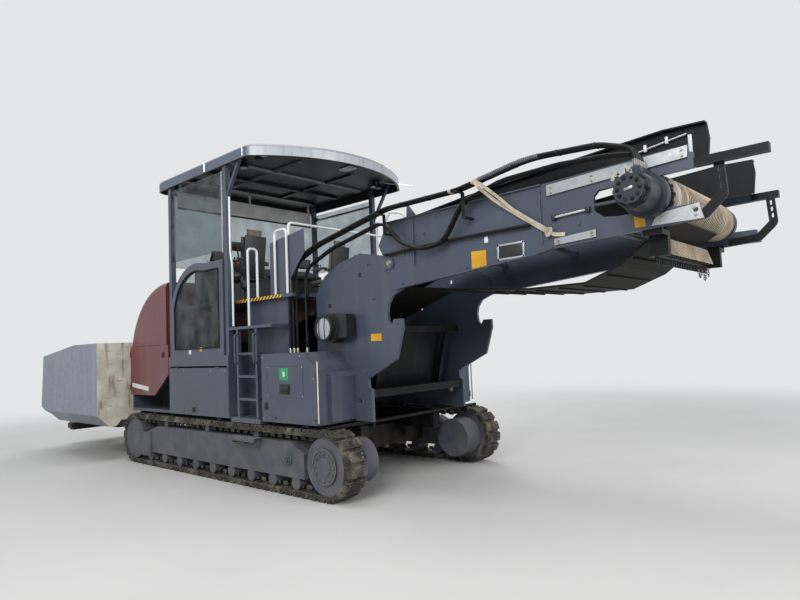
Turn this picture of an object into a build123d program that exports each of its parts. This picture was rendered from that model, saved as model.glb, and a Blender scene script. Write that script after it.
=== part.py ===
from build123d import *
import math
import os

os.makedirs("parts", exist_ok=True)

# Tracked material transfer vehicle. Millimetres, +X forward to the hopper, +Y left, +Z up, ground at z = 0.
# The origin is on the ground under the middle of the machine's length and width.

# Clearances
SEAT = 0.3            # between pieces that are seated on each other
RUN_GAP = 8.0         # round pieces that move

# Crawler tracks
HALF_WIDTH = 1500.0   # half of the machine's width over its side panels and tracks
TRACK_WIDTH = 300.0
TRACK_RADIUS = 400.0  # over the pads, round a wheel
TRACK_REAR_X = -1880.0
TRACK_FRONT_X = 2920.0
PAD_HEIGHT = 40.0
PAD_GAP = 26.0
PAD_BEVEL = 12.0
PAD_COUNT = 78
LINK_HEIGHT = 35.0
TRACK_OUT_Y = HALF_WIDTH
TRACK_IN_Y = HALF_WIDTH - TRACK_WIDTH
TRACK_MID_Z = TRACK_RADIUS
LINK_RADIUS = TRACK_RADIUS - PAD_HEIGHT - LINK_HEIGHT
WHEEL_RADIUS = LINK_RADIUS - SEAT

# Crawler frames
FRAME_INSET = 18.0    # outer face of the frame, inside the track's edge
FRAME_TOP_Z = 630.0
FRAME_BOTTOM_Z = 215.0
FRAME_REAR_X = -1500.0
FRAME_FRONT_X = 2540.0
YOKE_FRONT_X = 3095.0
YOKE_TOP_Z = 520.0
YOKE_BOTTOM_Z = 150.0
YOKE_THICKNESS = 16.0
ROLLER_RADIUS = 78.0
ROLLER_COUNT = 9
ROLLER_FIRST_X = -1320.0
ROLLER_PITCH = 465.0
TOP_ROLLER_RADIUS = 52.0
TOP_ROLLERS_X = (-500.0, 700.0, 1900.0)
HUB_RADIUS = 190.0
DRIVE_RADIUS = 265.0  # final drive housing on the inner side
DRIVE_IN_Y = 890.0

# Main frame
RAIL_Y = 705.0        # middle of each chassis rail
RAIL_WIDTH = 140.0
RAIL_BOTTOM_Z = 560.0
RAIL_TOP_Z = 835.0
RAIL_REAR_X = -1750.0
RAIL_FRONT_X = 3040.0
BEAM_LENGTH = 320.0
BEAM_TOP_Z = 600.0
BEAM_BOTTOM_Z = 300.0
BEAMS_X = (-880.0, 1760.0)
OUTRIGGERS_X = (-1500.0, 400.0, 2300.0)   # carry the side bodies and the cheeks
OUTRIGGER_OUT_Y = HALF_WIDTH - 60
OUTRIGGER_BOTTOM_Z = 812.0
REAR_ROD_X = -1905.0
REAR_ROD_Z = 822.0
BEARERS_X = (2000.0, 2660.0)              # carry the engine
ENGINE_BOTTOM_Z = 1520.0

# Side bodies: service box, ladder bay, flap bay and hood bay from the rear to the front
BODY_BOTTOM_Z = 850.0
BODY_TOP_Z = 1700.0
HOOD_SEAM_Z = 1900.0
BODY_WALL = 40.0
BODY_REAR_X = -1780.0
BOX_FRONT_X = -720.0
LADDER_FRONT_X = 40.0
FLAP_FRONT_X = 1690.0
HOOD_FRONT_X = 3030.0
BOX_CHAMFER = 210.0
BOX_FOLD_Y = 1310.0    # vertical fold in the box's rear face
DOOR_THICKNESS = 36.0
DOOR_MARGIN = 6.0
HINGE_LINE_Y = HALF_WIDTH + 4
KNUCKLE_RADIUS = 9.0
KNUCKLE_LENGTH = 90.0
LID_REAR_X = -1552.0      # lid in the service box's door
LID_FRONT_X = -834.0
LID_BOTTOM_Z = 1165.0
LID_TOP_Z = 1545.0
LID_GROOVE = 7.0

# Rear side cheeks with their coupling hooks
CHEEK_OUT_Y = 922.0
CHEEK_THICKNESS = 40.0
CHEEK_IN_Y = CHEEK_OUT_Y - CHEEK_THICKNESS
BODY_IN_Y = CHEEK_OUT_Y + SEAT
FOOT_BORE_RADIUS = 32.0
FOOT_BORE_X = -1900.0
FOOT_BORE_Z = 1085.0

# Belt
BELT_HALF_WIDTH = 600.0
BELT_THICKNESS = 22.0
DRUM_X = -5475.0
DRUM_Z = 2875.0
DRUM_RADIUS = 172.0
DRUM_HALF_WIDTH = 650.0
LAGGING_RADIUS = 190.0
LAGGING_OUT_Y = 880.0
LAGGING_GAP = 6.0          # from the belt's edge
LAGGING_RIBS = 12
LAGGING_RIB_HEIGHT = 6.0
LAGGING_RIB_HALF = 5.0
TAIL_X = 5250.0
TAIL_Z = 640.0
TAIL_RADIUS = 130.0
BEND_X = -2450.0
BEND_Z = 2790.0       # top of the carrying run over the bend
FOOT_RISE_X = 3500.0  # where the belt starts to climb

# Discharge conveyor
CONVEYOR_IN_Y = CHEEK_OUT_Y + SEAT
CONVEYOR_PLATE = 40.0
CONVEYOR_OUT_Y = CONVEYOR_IN_Y + CONVEYOR_PLATE
FORK_REAR_X = -5840.0
FORK_TOP_Z = 3232.0
LIP_WIDTH = 28.0
PIPE_CLIPS = ((-2550.0, 2778.0), (-3400.0, 2810.0), (-4300.0, 2815.0))
HOSE_RADIUS = 17.0
HOSE_PITCH = 40.0
HOSE_BEND = 240.0
HOSE_LOWER_Y = CONVEYOR_OUT_Y + 84
HOSE_UPPER_Y = HOSE_LOWER_Y + 2 * HOSE_PITCH + 8
RIBS_X = (-2900.0, -4480.0)
PIVOT_X = -2530.0
PIVOT_Z = 2676.0
SKIRT_Y = 760.0
SKIRT_THICKNESS = 25.0
SKIRT_FLANGE_WIDTH = 75.0
SKIRT_FLANGE_THICKNESS = 12.0
SHAFT_RADIUS = 105.0
HUB_RING_RADIUS = 186.0   # bearing ring outside each plate
HUB_RING_OUT_Y = 1060.0
MOTOR_RADIUS = 150.0
MOTOR_STEP_Y = 1320.0
MOTOR_CAP_RADIUS = 118.0
MOTOR_OUT_Y = 1400.0
PORT_HEIGHT = 205.0       # of the motor's hose ports above its axis
ARM_THICKNESS = 24.0
ARM_WIDTH = 76.0
ARM_Y = CONVEYOR_IN_Y - SEAT - ARM_THICKNESS / 2
ARM_SLOTS_Z = (2870.0, 2935.0, 3000.0)
ARM_SLOT_RADIUS = 10.0
ARM_SLOT_HALF = 14.0       # from its middle to the middle of each round end
ARM_TUBE_LEFT_X = -6360.0
ARM_TUBE_RIGHT_X = -6080.0
SCRAPER_HALF_WIDTH = 740.0
SCRAPER_RIBS = 24
COMB_TEETH = 30

# Hopper
HOPPER_REAR_X = 3400.0
HOPPER_FRONT_LOW_X = 5730.0
HOPPER_FRONT_X = 6080.0
WING_OUT_Y = 1900.0
WING_TOP_Z = 1985.0
WING_FRONT_TOP_Z = 1810.0
WING_TOP_BREAK_X = 4400.0
WING_CORNER_Z = 770.0
WING_LOW_Y = 1700.0
WING_LOW_Z = 575.0
WING_STEP_Y = 1500.0
WING_WALL = 45.0
WING_RIBS_X = (4200.0, 5100.0)
HINGE_Y = 895.0
HINGE_Z = 690.0
HINGE_RADIUS = 28.0
BULKHEAD_REAR_X = HOOD_FRONT_X + SEAT
BULKHEAD_THICKNESS = 80.0
FLAP_X = 5800.0
FLAP_HINGE_Z = 590.0
FLAP_HEIGHT = 380.0
FLAP_THICKNESS = 40.0
FLAP_HALF_WIDTH = HINGE_Y - HINGE_RADIUS - RUN_GAP - 12
FLOOR_BEAM_Z = 400.0
WING_KNUCKLES_X = (3550.0, 4300.0, 5050.0, 5600.0)
ROLLER_X = 6260.0
ROLLER_Z = 400.0
PUSH_ROLLER_RADIUS = 100.0
PUSH_ROLLER_LENGTH = 1180.0
PUSH_ROLLER_IN_Y = 120.0
PUSH_ARM_Y = 650.0
PUSH_ARM_OUT_Y = 1340.0
PUSH_ARM_HALF = 20.0
PUSH_AXLE_RADIUS = 32.0

# Wing cylinders
CYL_X = 3225.0
CYL_FOOT_Y = TRACK_IN_Y - 240
CYL_FOOT_Z = 330.0
CYL_EYE_Y = TRACK_IN_Y + 50
CYL_EYE_Z = 905.0
BARREL_RADIUS = 50.0
CYL_LUG_X = 72.0        # from the cylinder to the middle of each foot lug
ROD_RADIUS = 28.0
EYE_RADIUS = 55.0
PIN_RADIUS = 22.0

# Engine hood
HOOD_REAR_X = 1765.0
HOOD_BOTTOM_Z = HOOD_SEAM_Z + SEAT
HOOD_TOP_Z = 2880.0
HOOD_WALL = 30.0
HOOD_EDGE_RADIUS = 95.0
HOOD_KNUCKLE_RADIUS = 14.0
HOOD_KNUCKLE_Y = 700.0

# Operator's station
FLOOR_TOP_Z = 2460.0
FLOOR_THICKNESS = 45.0
FLOOR_REAR_X = -1120.0
FLOOR_FRONT_X = 1600.0
FLOOR_HALF_WIDTH = 1290.0
SHIELD_Y = FLOOR_HALF_WIDTH - 54
HOSE_WELL_X = -900.0   # the hoses pass the floor behind this
STEP_TOP_Z = 2075.0
PANEL_REAR_X = 140.0
PANEL_FRONT_X = 1600.0
PANEL_TOP_Z = 3030.0
PANEL_THICKNESS = 60.0
PANEL_IN_Y = HALF_WIDTH - PANEL_THICKNESS
WINDOW_MARGIN = 110.0
GLASS_THICKNESS = 12.0
POST_SIZE = 75.0
FRONT_POST_X = 1612.0
REAR_POST_X = 45.0
BRACE_FOOT_Z = 3900.0
BRACE_REACH = 405.0
ROOF_REAR_X = -1130.0      # at the middle of the bowed rear edge
ROOF_SIDE_REAR_X = -520.0
ROOF_HALF_WIDTH = 1510.0
ROOF_RIBS_X = (250.0, 850.0, 1450.0)
ROOF_RIB_HALF = 1300.0
ROOF_FRONT_X = 2050.0
ROOF_EDGE_Z = 4335.0
ROOF_HEIGHT = 165.0
ROOF_SKIN = 28.0
ROOF_CORNER = 190.0

# Ladders and rails
RAIL_TUBE_RADIUS = 17.0
GUARD_X = -860.0
GUARD_TOP_Z = 3420.0
GUARD_HALF_WIDTH = 1120.0
RUNG_SPACING = 300.0
LADDER_FOOT_Z = 812.0
LADDER_STILE_REAR_X = -560.0
LADDER_STILE_FRONT_X = -130.0
GRAB_RADIUS = 13.0

SIDES = (("left", 1), ("right", -1))
NODES = {}


def slab(x0, x1, y0, y1, z0, z1):
    return Pos((x0 + x1) / 2, (y0 + y1) / 2, (z0 + z1) / 2) * Box(x1 - x0, y1 - y0, z1 - z0)


def plate_xz(points, y0, y1):
    outline = Polyline(*[(x, y0, z) for x, z in points], close=True)
    return extrude(make_face(outline), amount=y1 - y0, dir=(0, 1, 0))


def plate_yz(points, x0, x1):
    outline = Polyline(*[(x0, y, z) for y, z in points], close=True)
    return extrude(make_face(outline), amount=x1 - x0, dir=(1, 0, 0))


def rod_y(x, z, radius, y0, y1):
    return Pos(x, (y0 + y1) / 2, z) * Rot(90, 0, 0) * Cylinder(radius, y1 - y0)


def rod_x(y, z, radius, x0, x1):
    return Pos((x0 + x1) / 2, y, z) * Rot(0, 90, 0) * Cylinder(radius, x1 - x0)


def tube(points, radius, bend):
    path = FilletPolyline(*points, radius=bend)
    return sweep(Plane(path @ 0, z_dir=path % 0) * Circle(radius), path=path)


def on_side(shape, side):
    return shape if side > 0 else mirror(shape, about=Plane.XZ)


def save(node, *shapes):
    solids = []
    for shape in shapes:
        solids += list(shape.solids())
    NODES[node] = solids[0] if len(solids) == 1 else Compound(children=solids)
    export_step(NODES[node], "parts/" + node + ".step")


def both_sides(*shapes):
    return [on_side(shape, side) for shape in shapes for _, side in SIDES]


# Crawler tracks: a closed band with its pads standing proud of it
def loop_point(s, offset):
    base = TRACK_RADIUS - PAD_HEIGHT
    run = TRACK_FRONT_X - TRACK_REAR_X
    turn = math.pi * base
    s = s % (2 * run + 2 * turn)
    if s < run:
        return TRACK_REAR_X + s, TRACK_MID_Z - base - offset
    if s < run + turn:
        angle = (s - run) / base - math.pi / 2
        return (TRACK_FRONT_X + (base + offset) * math.cos(angle),
                TRACK_MID_Z + (base + offset) * math.sin(angle))
    if s < 2 * run + turn:
        return TRACK_FRONT_X - (s - run - turn), TRACK_MID_Z + base + offset
    angle = (s - 2 * run - turn) / base + math.pi / 2
    return (TRACK_REAR_X + (base + offset) * math.cos(angle),
            TRACK_MID_Z + (base + offset) * math.sin(angle))


def make_track():
    base = TRACK_RADIUS - PAD_HEIGHT
    length = 2 * (TRACK_FRONT_X - TRACK_REAR_X) + 2 * math.pi * base
    pitch = length / PAD_COUNT
    points = []
    for pad in range(PAD_COUNT):
        start = pad * pitch + PAD_GAP / 2
        end = (pad + 1) * pitch - PAD_GAP / 2
        points += [loop_point(start, 0), loop_point(start + PAD_BEVEL, PAD_HEIGHT),
                   loop_point(end - PAD_BEVEL, PAD_HEIGHT), loop_point(end, 0)]
    band = plate_xz(points, TRACK_IN_Y, TRACK_OUT_Y)
    inside = slab(TRACK_REAR_X, TRACK_FRONT_X, TRACK_IN_Y - 1, TRACK_OUT_Y + 1,
                  TRACK_MID_Z - LINK_RADIUS, TRACK_MID_Z + LINK_RADIUS)
    for x in (TRACK_REAR_X, TRACK_FRONT_X):
        inside += rod_y(x, TRACK_MID_Z, LINK_RADIUS, TRACK_IN_Y - 1, TRACK_OUT_Y + 1)
    return band - inside


def make_crawler_frame():
    outer = TRACK_OUT_Y - FRAME_INSET
    inner = TRACK_IN_Y + FRAME_INSET
    nose_z = TRACK_MID_Z + 110
    beam = plate_xz([(FRAME_REAR_X, FRAME_BOTTOM_Z), (FRAME_FRONT_X, FRAME_BOTTOM_Z),
                     (FRAME_FRONT_X, nose_z), (FRAME_FRONT_X - 420, FRAME_TOP_Z),
                     (FRAME_REAR_X + 260, FRAME_TOP_Z), (FRAME_REAR_X, nose_z)], inner, outer)
    yokes = [slab(FRAME_FRONT_X - 200, YOKE_FRONT_X, outer, outer + YOKE_THICKNESS, YOKE_BOTTOM_Z, YOKE_TOP_Z),
             slab(FRAME_FRONT_X - 200, YOKE_FRONT_X, inner - YOKE_THICKNESS, inner, YOKE_BOTTOM_Z, YOKE_TOP_Z)]
    fork = slab(TRACK_REAR_X, FRAME_REAR_X + 300, inner - YOKE_THICKNESS, inner,
                TRACK_MID_Z - 140, TRACK_MID_Z + 140)
    drive = rod_y(TRACK_REAR_X, TRACK_MID_Z, DRIVE_RADIUS, DRIVE_IN_Y, inner)
    bottom_z = PAD_HEIGHT + LINK_HEIGHT + SEAT + ROLLER_RADIUS
    top_z = 2 * TRACK_MID_Z - PAD_HEIGHT - LINK_HEIGHT - SEAT - TOP_ROLLER_RADIUS
    rollers = [rod_y(ROLLER_FIRST_X + i * ROLLER_PITCH, bottom_z, ROLLER_RADIUS, inner + 12, outer - 12)
               for i in range(ROLLER_COUNT)]
    rollers += [rod_y(x, top_z, TOP_ROLLER_RADIUS, inner + 30, outer - 30) for x in TOP_ROLLERS_X]
    wheels = [rod_y(TRACK_REAR_X, TRACK_MID_Z, WHEEL_RADIUS, inner, outer),
              rod_y(TRACK_FRONT_X, TRACK_MID_Z, WHEEL_RADIUS, inner, outer)]
    hub = rod_y(TRACK_REAR_X, TRACK_MID_Z, HUB_RADIUS, outer, TRACK_OUT_Y)
    boss = rod_y(FRAME_REAR_X + 300, TRACK_MID_Z + 20, 75, outer, TRACK_OUT_Y - 4)
    return beam + yokes + [fork, drive, hub, boss] + rollers + wheels


def make_main_frame():
    rail = slab(RAIL_REAR_X, RAIL_FRONT_X, RAIL_Y - RAIL_WIDTH / 2, RAIL_Y + RAIL_WIDTH / 2,
                RAIL_BOTTOM_Z, RAIL_TOP_Z)
    frame = rail + on_side(rail, -1)
    reach = TRACK_IN_Y + FRAME_INSET - SEAT
    for x in BEAMS_X:
        frame += slab(x - BEAM_LENGTH / 2, x + BEAM_LENGTH / 2, -reach, reach, BEAM_BOTTOM_Z, BEAM_TOP_Z)
    frame += rod_y(REAR_ROD_X, REAR_ROD_Z, 20, -HALF_WIDTH + 60, HALF_WIDTH - 60)
    for side in (1, -1):
        bracket = slab(REAR_ROD_X - 12, RAIL_REAR_X + 5, RAIL_Y - 20, RAIL_Y + 20, REAR_ROD_Z - 60, REAR_ROD_Z + 3)
        frame += on_side(bracket, side)
        for x in OUTRIGGERS_X:
            outrigger = slab(x - 60, x + 60, RAIL_Y, OUTRIGGER_OUT_Y, OUTRIGGER_BOTTOM_Z, BODY_BOTTOM_Z - SEAT)
            frame += on_side(outrigger, side)
        for x in BEARERS_X:
            foot = slab(x - 50, x + 50, RAIL_Y - 40, RAIL_Y + 40, RAIL_TOP_Z - 5, ENGINE_BOTTOM_Z - SEAT)
            frame += on_side(foot, side)
    return frame


for side_name, side in SIDES:
    save("track_" + side_name, on_side(make_track(), side))
    save("crawler_frame_" + side_name, on_side(make_crawler_frame(), side))
save("main_frame", make_main_frame())


# Rear side cheeks: big plates with a foot, a bore, a hook notch and an arched top
def make_cheek():
    arch = [(-2660, 2370), (-2600, 2640), (-2350, 2800), (-2000, 2870), (-1630, 2800), (-1330, 2660),
            (-1150, 2440)]
    outline = arch + [(-1150, RAIL_TOP_Z + 15), (-2110, RAIL_TOP_Z + 15), (-2110, 1229), (-2060, 1246),
                      (-2055, 1349), (-2110, 1380), (-2523, 1577), (-2640, 1930), (-2637, 2040), (-2505, 2038),
                      (-2475, 1974), (-2425, 2020), (-2410, 2120), (-2430, 2220), (-2500, 2310)]
    plate = plate_xz(outline, CHEEK_IN_Y, CHEEK_OUT_Y)
    bore = rod_y(FOOT_BORE_X, FOOT_BORE_Z, FOOT_BORE_RADIUS, CHEEK_IN_Y - 1, CHEEK_OUT_Y + 1)
    holes = [slab(x - 26, x + 26, CHEEK_IN_Y - 1, CHEEK_OUT_Y + 1, z - 26, z + 26)
             for x, z in ((-1980, 2608), (-1412, 2273))]
    return plate - bore - holes


for side_name, side in SIDES:
    save("rear_cheek_" + side_name, on_side(make_cheek(), side))

CROSS_REAR_X = -2080.0
CROSS_FRONT_X = -1960.0
FRAME_BAR_Y = 620.0
cross = slab(CROSS_REAR_X, CROSS_FRONT_X, -CHEEK_IN_Y, CHEEK_IN_Y, 1140, 1215)
cross += slab(CROSS_REAR_X, CROSS_FRONT_X, -CHEEK_IN_Y, CHEEK_IN_Y, 1900, 1975)
for y in (-FRAME_BAR_Y, FRAME_BAR_Y):
    cross += plate_xz([(CROSS_REAR_X, 1940), (CROSS_REAR_X + 12, 1965), (CROSS_FRONT_X + 190, 1170),
                       (CROSS_REAR_X + 190, 1150)],
                      y - 30, y + 30)
cross += slab(CROSS_REAR_X, CROSS_FRONT_X + 190, -CHEEK_IN_Y, CHEEK_IN_Y, 1128, 1150)
cross += plate_xz([(CROSS_FRONT_X + 10, 1900), (CROSS_FRONT_X + 22, 1900), (CROSS_FRONT_X + 190, 1150),
                   (CROSS_FRONT_X + 178, 1150)],
                  -FRAME_BAR_Y, FRAME_BAR_Y)
save("rear_cross_frame", cross)

ENGINE_X0, ENGINE_X1 = 1920.0, 2780.0
save("engine_block", slab(ENGINE_X0, ENGINE_X1, -850, 850, ENGINE_BOTTOM_Z, 2380))


# Side bodies: walls round the open bays
def make_side_body():
    inner, outer = BODY_IN_Y, HALF_WIDTH
    shell = plate_xz([(BODY_REAR_X, BODY_BOTTOM_Z), (HOOD_FRONT_X, BODY_BOTTOM_Z), (HOOD_FRONT_X, HOOD_SEAM_Z),
                      (FLAP_FRONT_X + 60, HOOD_SEAM_Z), (FLAP_FRONT_X + 60, BODY_TOP_Z),
                      (BODY_REAR_X + BOX_CHAMFER, BODY_TOP_Z), (BODY_REAR_X, BODY_TOP_Z - BOX_CHAMFER)], inner, outer)
    face = outer - DOOR_THICKNESS - SEAT
    bays = [(BODY_REAR_X + BODY_WALL, BOX_FRONT_X - BODY_WALL, BODY_TOP_Z - BODY_WALL - 150),
            (LADDER_FRONT_X + BODY_WALL, FLAP_FRONT_X - BODY_WALL, BODY_TOP_Z - BODY_WALL - 100),
            (FLAP_FRONT_X + BODY_WALL, HOOD_FRONT_X - BODY_WALL, BODY_TOP_Z + 120)]
    for x0, x1, top in bays:
        shell -= slab(x0, x1, inner + BODY_WALL, outer + 1, BODY_BOTTOM_Z + BODY_WALL, top)
    shell -= slab(BOX_FRONT_X, LADDER_FRONT_X, outer - 330, outer + 1, BODY_BOTTOM_Z - 1, BODY_TOP_Z + 1)
    shell -= slab(BODY_REAR_X - 1, BOX_FRONT_X - 4, face, outer + 1, BODY_BOTTOM_Z - 1, BODY_TOP_Z + 1)
    shell += plate_xz([(BODY_REAR_X - 55, BODY_BOTTOM_Z + 30), (BODY_REAR_X, BODY_BOTTOM_Z + 30),
                       (BODY_REAR_X, BODY_TOP_Z - BOX_CHAMFER - 30), (BODY_REAR_X - 55, BODY_TOP_Z - BOX_CHAMFER - 90)],
                      inner, BOX_FOLD_Y)
    shell -= slab(LADDER_FRONT_X + 8, HOOD_FRONT_X + 1, face, outer + 1, BODY_BOTTOM_Z - 1, BODY_TOP_Z - 160)
    shell -= slab(FLAP_FRONT_X + 10, HOOD_FRONT_X + 1, face, outer + 1, BODY_BOTTOM_Z - 1, HOOD_SEAM_Z + 1)
    return shell


def door_slab(x0, x1, z0, z1):
    return slab(x0, x1, HALF_WIDTH - DOOR_THICKNESS, HALF_WIDTH, z0, z1)


# Hinge knuckles on a door's edge, round the axis just outside its face
def hinge_z(x, z0, z1):
    knuckle = Cylinder(KNUCKLE_RADIUS, KNUCKLE_LENGTH)
    return Pos(x, HINGE_LINE_Y, z0) * knuckle + Pos(x, HINGE_LINE_Y, z1) * knuckle


def hinge_x(z, x0, x1):
    knuckle = Rot(0, 90, 0) * Cylinder(KNUCKLE_RADIUS, KNUCKLE_LENGTH)
    return Pos(x0, HINGE_LINE_Y, z) * knuckle + Pos(x1, HINGE_LINE_Y, z) * knuckle


def make_box_door():
    x0 = BODY_REAR_X + DOOR_MARGIN
    x1 = BOX_FRONT_X - DOOR_MARGIN
    z0 = BODY_BOTTOM_Z + DOOR_MARGIN
    z1 = BODY_TOP_Z - DOOR_MARGIN
    door = plate_xz([(x0, z0), (x1, z0), (x1, z1), (x0 + BOX_CHAMFER, z1), (x0, z1 - BOX_CHAMFER)],
                    HALF_WIDTH - DOOR_THICKNESS, HALF_WIDTH)
    groove = slab(LID_REAR_X, LID_FRONT_X, HALF_WIDTH - LID_GROOVE, HALF_WIDTH + 1, LID_BOTTOM_Z, LID_TOP_Z)
    groove -= slab(LID_REAR_X + 9, LID_FRONT_X - 9, HALF_WIDTH - 20, HALF_WIDTH + 2,
                   LID_BOTTOM_Z + 9, LID_TOP_Z - 9)
    door -= groove
    return door + hinge_z(x0, z0 + 110, z1 - BOX_CHAMFER - 60)


def make_side_flap():
    x0 = LADDER_FRONT_X + DOOR_MARGIN + 10
    x1 = FLAP_FRONT_X - DOOR_MARGIN
    z1 = BODY_TOP_Z - 160 - DOOR_MARGIN
    return door_slab(x0, x1, BODY_BOTTOM_Z + DOOR_MARGIN, z1) + hinge_x(z1, x0 + 250, x1 - 250)


def make_hood_door():
    x0 = FLAP_FRONT_X + 26
    x1 = HOOD_FRONT_X - DOOR_MARGIN
    low = BODY_BOTTOM_Z + 260
    top = HOOD_SEAM_Z - DOOR_MARGIN
    door = plate_xz([(x0 + 460, low), (x1, low), (x1, top), (x0, top), (x0, low + 330)],
                    HALF_WIDTH - DOOR_THICKNESS, HALF_WIDTH)
    return door + hinge_z(x1, low + 120, HOOD_SEAM_Z - 130)


for side_name, side in SIDES:
    save("side_body_" + side_name, on_side(make_side_body(), side))
    save("box_door_" + side_name, on_side(make_box_door(), side))
    save("side_flap_" + side_name, on_side(make_side_flap(), side))
    save("hood_door_" + side_name, on_side(make_hood_door(), side))


# Engine hood: a quarter dome whose front drops in an arc, open below
def hood_profile(inset, y0, y1):
    x0 = HOOD_REAR_X + inset
    x1 = HOOD_FRONT_X - inset
    top = HOOD_TOP_Z - inset
    low = HOOD_BOTTOM_Z
    reach = x1 - x0
    rise = top - low
    middle = (x0 + reach * 0.62, y0, low + rise * 0.755)
    outline = Line((x0, y0, low), (x1, y0, low)) + ThreePointArc((x1, y0, low), middle, (x0, y0, top))
    outline += Line((x0, y0, top), (x0, y0, low))
    return extrude(make_face(outline), amount=y1 - y0, dir=(0, 1, 0))


def make_engine_hood():
    outer = hood_profile(0, -HALF_WIDTH, HALF_WIDTH)
    outer = fillet(outer.edges().filter_by(GeomType.CIRCLE), HOOD_EDGE_RADIUS)
    inner = hood_profile(HOOD_WALL, -HALF_WIDTH + HOOD_WALL, HALF_WIDTH - HOOD_WALL)
    inner = fillet(inner.edges().filter_by(GeomType.CIRCLE), HOOD_EDGE_RADIUS - HOOD_WALL)
    knuckles = [rod_y(HOOD_FRONT_X, HOOD_BOTTOM_Z, HOOD_KNUCKLE_RADIUS, y - 60, y + 60)
                for y in (-HOOD_KNUCKLE_Y, HOOD_KNUCKLE_Y)]
    return outer - inner + knuckles


save("engine_hood", make_engine_hood())


# Hopper
def make_hopper_base():
    base = slab(BULKHEAD_REAR_X, BULKHEAD_REAR_X + BULKHEAD_THICKNESS, -1340, 1340, BODY_BOTTOM_Z, HOOD_SEAM_Z)
    base -= slab(BULKHEAD_REAR_X - 1, HOPPER_REAR_X, -SKIRT_Y, SKIRT_Y, BODY_BOTTOM_Z - 1, 1250)
    for y in (-HOOD_KNUCKLE_Y, HOOD_KNUCKLE_Y):
        base -= slab(BULKHEAD_REAR_X - 1, HOOD_FRONT_X + HOOD_KNUCKLE_RADIUS + 6, y - 65, y + 65,
                     HOOD_SEAM_Z - 20, HOOD_SEAM_Z + 1)
    inner = BELT_HALF_WIDTH + 20
    outer = HINGE_Y - HINGE_RADIUS - RUN_GAP
    rear = HOPPER_REAR_X - 12
    base += slab(rear - 68, rear, -outer, outer, 1250, 1900)
    base += slab(BULKHEAD_REAR_X, rear, -outer, outer, 1250, 1290)
    for s in (-1, 1):
        y0, y1 = sorted((s * inner, s * outer))
        base += slab(RAIL_FRONT_X + SEAT, FLAP_X - 60, y0, y1, FLOOR_BEAM_Z, HINGE_Z - 50)
        y0, y1 = sorted((s * (outer - 40), s * outer))
        base += slab(BULKHEAD_REAR_X, rear, y0, y1, FLOOR_BEAM_Z, 1290)
        y0, y1 = sorted((s * inner, s * (inner + 40)))
        base += slab(TAIL_X - 100, TAIL_X + 100, y0, y1, HINGE_Z - 60, TAIL_Z + 90)
        y0, y1 = sorted((s * (outer - 40), s * (HINGE_Y - HINGE_RADIUS - SEAT)))
        for x in WING_KNUCKLES_X:
            base += slab(x - 45, x + 45, y0, y1, HINGE_Z - 60, HINGE_Z + 15)
        y0, y1 = sorted((s * (FLAP_HALF_WIDTH + SEAT), s * outer))
        base += slab(FLAP_X - 100, FLAP_X + FLAP_THICKNESS, y0, y1, FLAP_HINGE_Z - 45, FLAP_HINGE_Z + 45)
        for x in (CYL_X - CYL_LUG_X, CYL_X + CYL_LUG_X):
            y0, y1 = sorted((s * (outer - 40), s * (CYL_FOOT_Y + 40)))
            base += slab(x - 12, x + 12, y0, y1, CYL_FOOT_Z - 50, CYL_FOOT_Z + 100)
        base += rod_x(s * CYL_FOOT_Y, CYL_FOOT_Z, PIN_RADIUS, CYL_X - CYL_LUG_X, CYL_X + CYL_LUG_X)
    base += slab(FLAP_X - 160, FLAP_X - 60, -outer, outer, FLOOR_BEAM_Z, FLOOR_BEAM_Z + 70)
    return base


save("hopper_base", make_hopper_base())


def make_wing():
    section = [(HINGE_Y, HINGE_Z - 20), (WING_STEP_Y, HINGE_Z - 20), (1590, WING_LOW_Z), (WING_LOW_Y, WING_LOW_Z),
               (WING_OUT_Y, WING_CORNER_Z), (WING_OUT_Y, WING_TOP_Z), (WING_OUT_Y - WING_WALL, WING_TOP_Z),
               (WING_OUT_Y - WING_WALL, WING_CORNER_Z + 30), (WING_LOW_Y - 10, WING_LOW_Z + WING_WALL + 10),
               (1600, WING_LOW_Z + WING_WALL + 10), (WING_STEP_Y + 15, HINGE_Z + 25), (HINGE_Y, HINGE_Z + 25)]
    wing = plate_yz(section, HOPPER_REAR_X, HOPPER_FRONT_X)
    rear = [(HINGE_Y, HINGE_Z - 20), (WING_STEP_Y, HINGE_Z - 20), (1590, WING_LOW_Z), (WING_LOW_Y, WING_LOW_Z),
            (WING_OUT_Y, WING_CORNER_Z), (WING_OUT_Y, WING_TOP_Z), (HINGE_Y + 120, WING_TOP_Z),
            (HINGE_Y, WING_TOP_Z - 500)]
    wing += plate_yz(rear, HOPPER_REAR_X, HOPPER_REAR_X + WING_WALL)
    cut = [(WING_TOP_BREAK_X, WING_TOP_Z + 1), (HOPPER_FRONT_X - 100, WING_FRONT_TOP_Z), (HOPPER_FRONT_X, 840),
           (HOPPER_FRONT_LOW_X, HINGE_Z + 26), (HOPPER_FRONT_LOW_X, WING_LOW_Z - 1),
           (HOPPER_FRONT_X + 5, WING_LOW_Z - 1), (HOPPER_FRONT_X + 5, WING_TOP_Z + 1)]
    wing -= plate_xz(cut, HINGE_Y - 1, WING_OUT_Y + 1)
    wing += rod_x(HINGE_Y, HINGE_Z, HINGE_RADIUS, HOPPER_REAR_X, HOPPER_FRONT_LOW_X)
    for x in WING_RIBS_X:
        wing += slab(x - 7, x + 7, WING_OUT_Y - WING_WALL - 40, WING_OUT_Y - 5,
                     WING_CORNER_Z + 40, WING_FRONT_TOP_Z - 60)
    pin = rod_x(CYL_EYE_Y, CYL_EYE_Z, PIN_RADIUS, CYL_X - 50, HOPPER_REAR_X)
    return wing + pin


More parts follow.
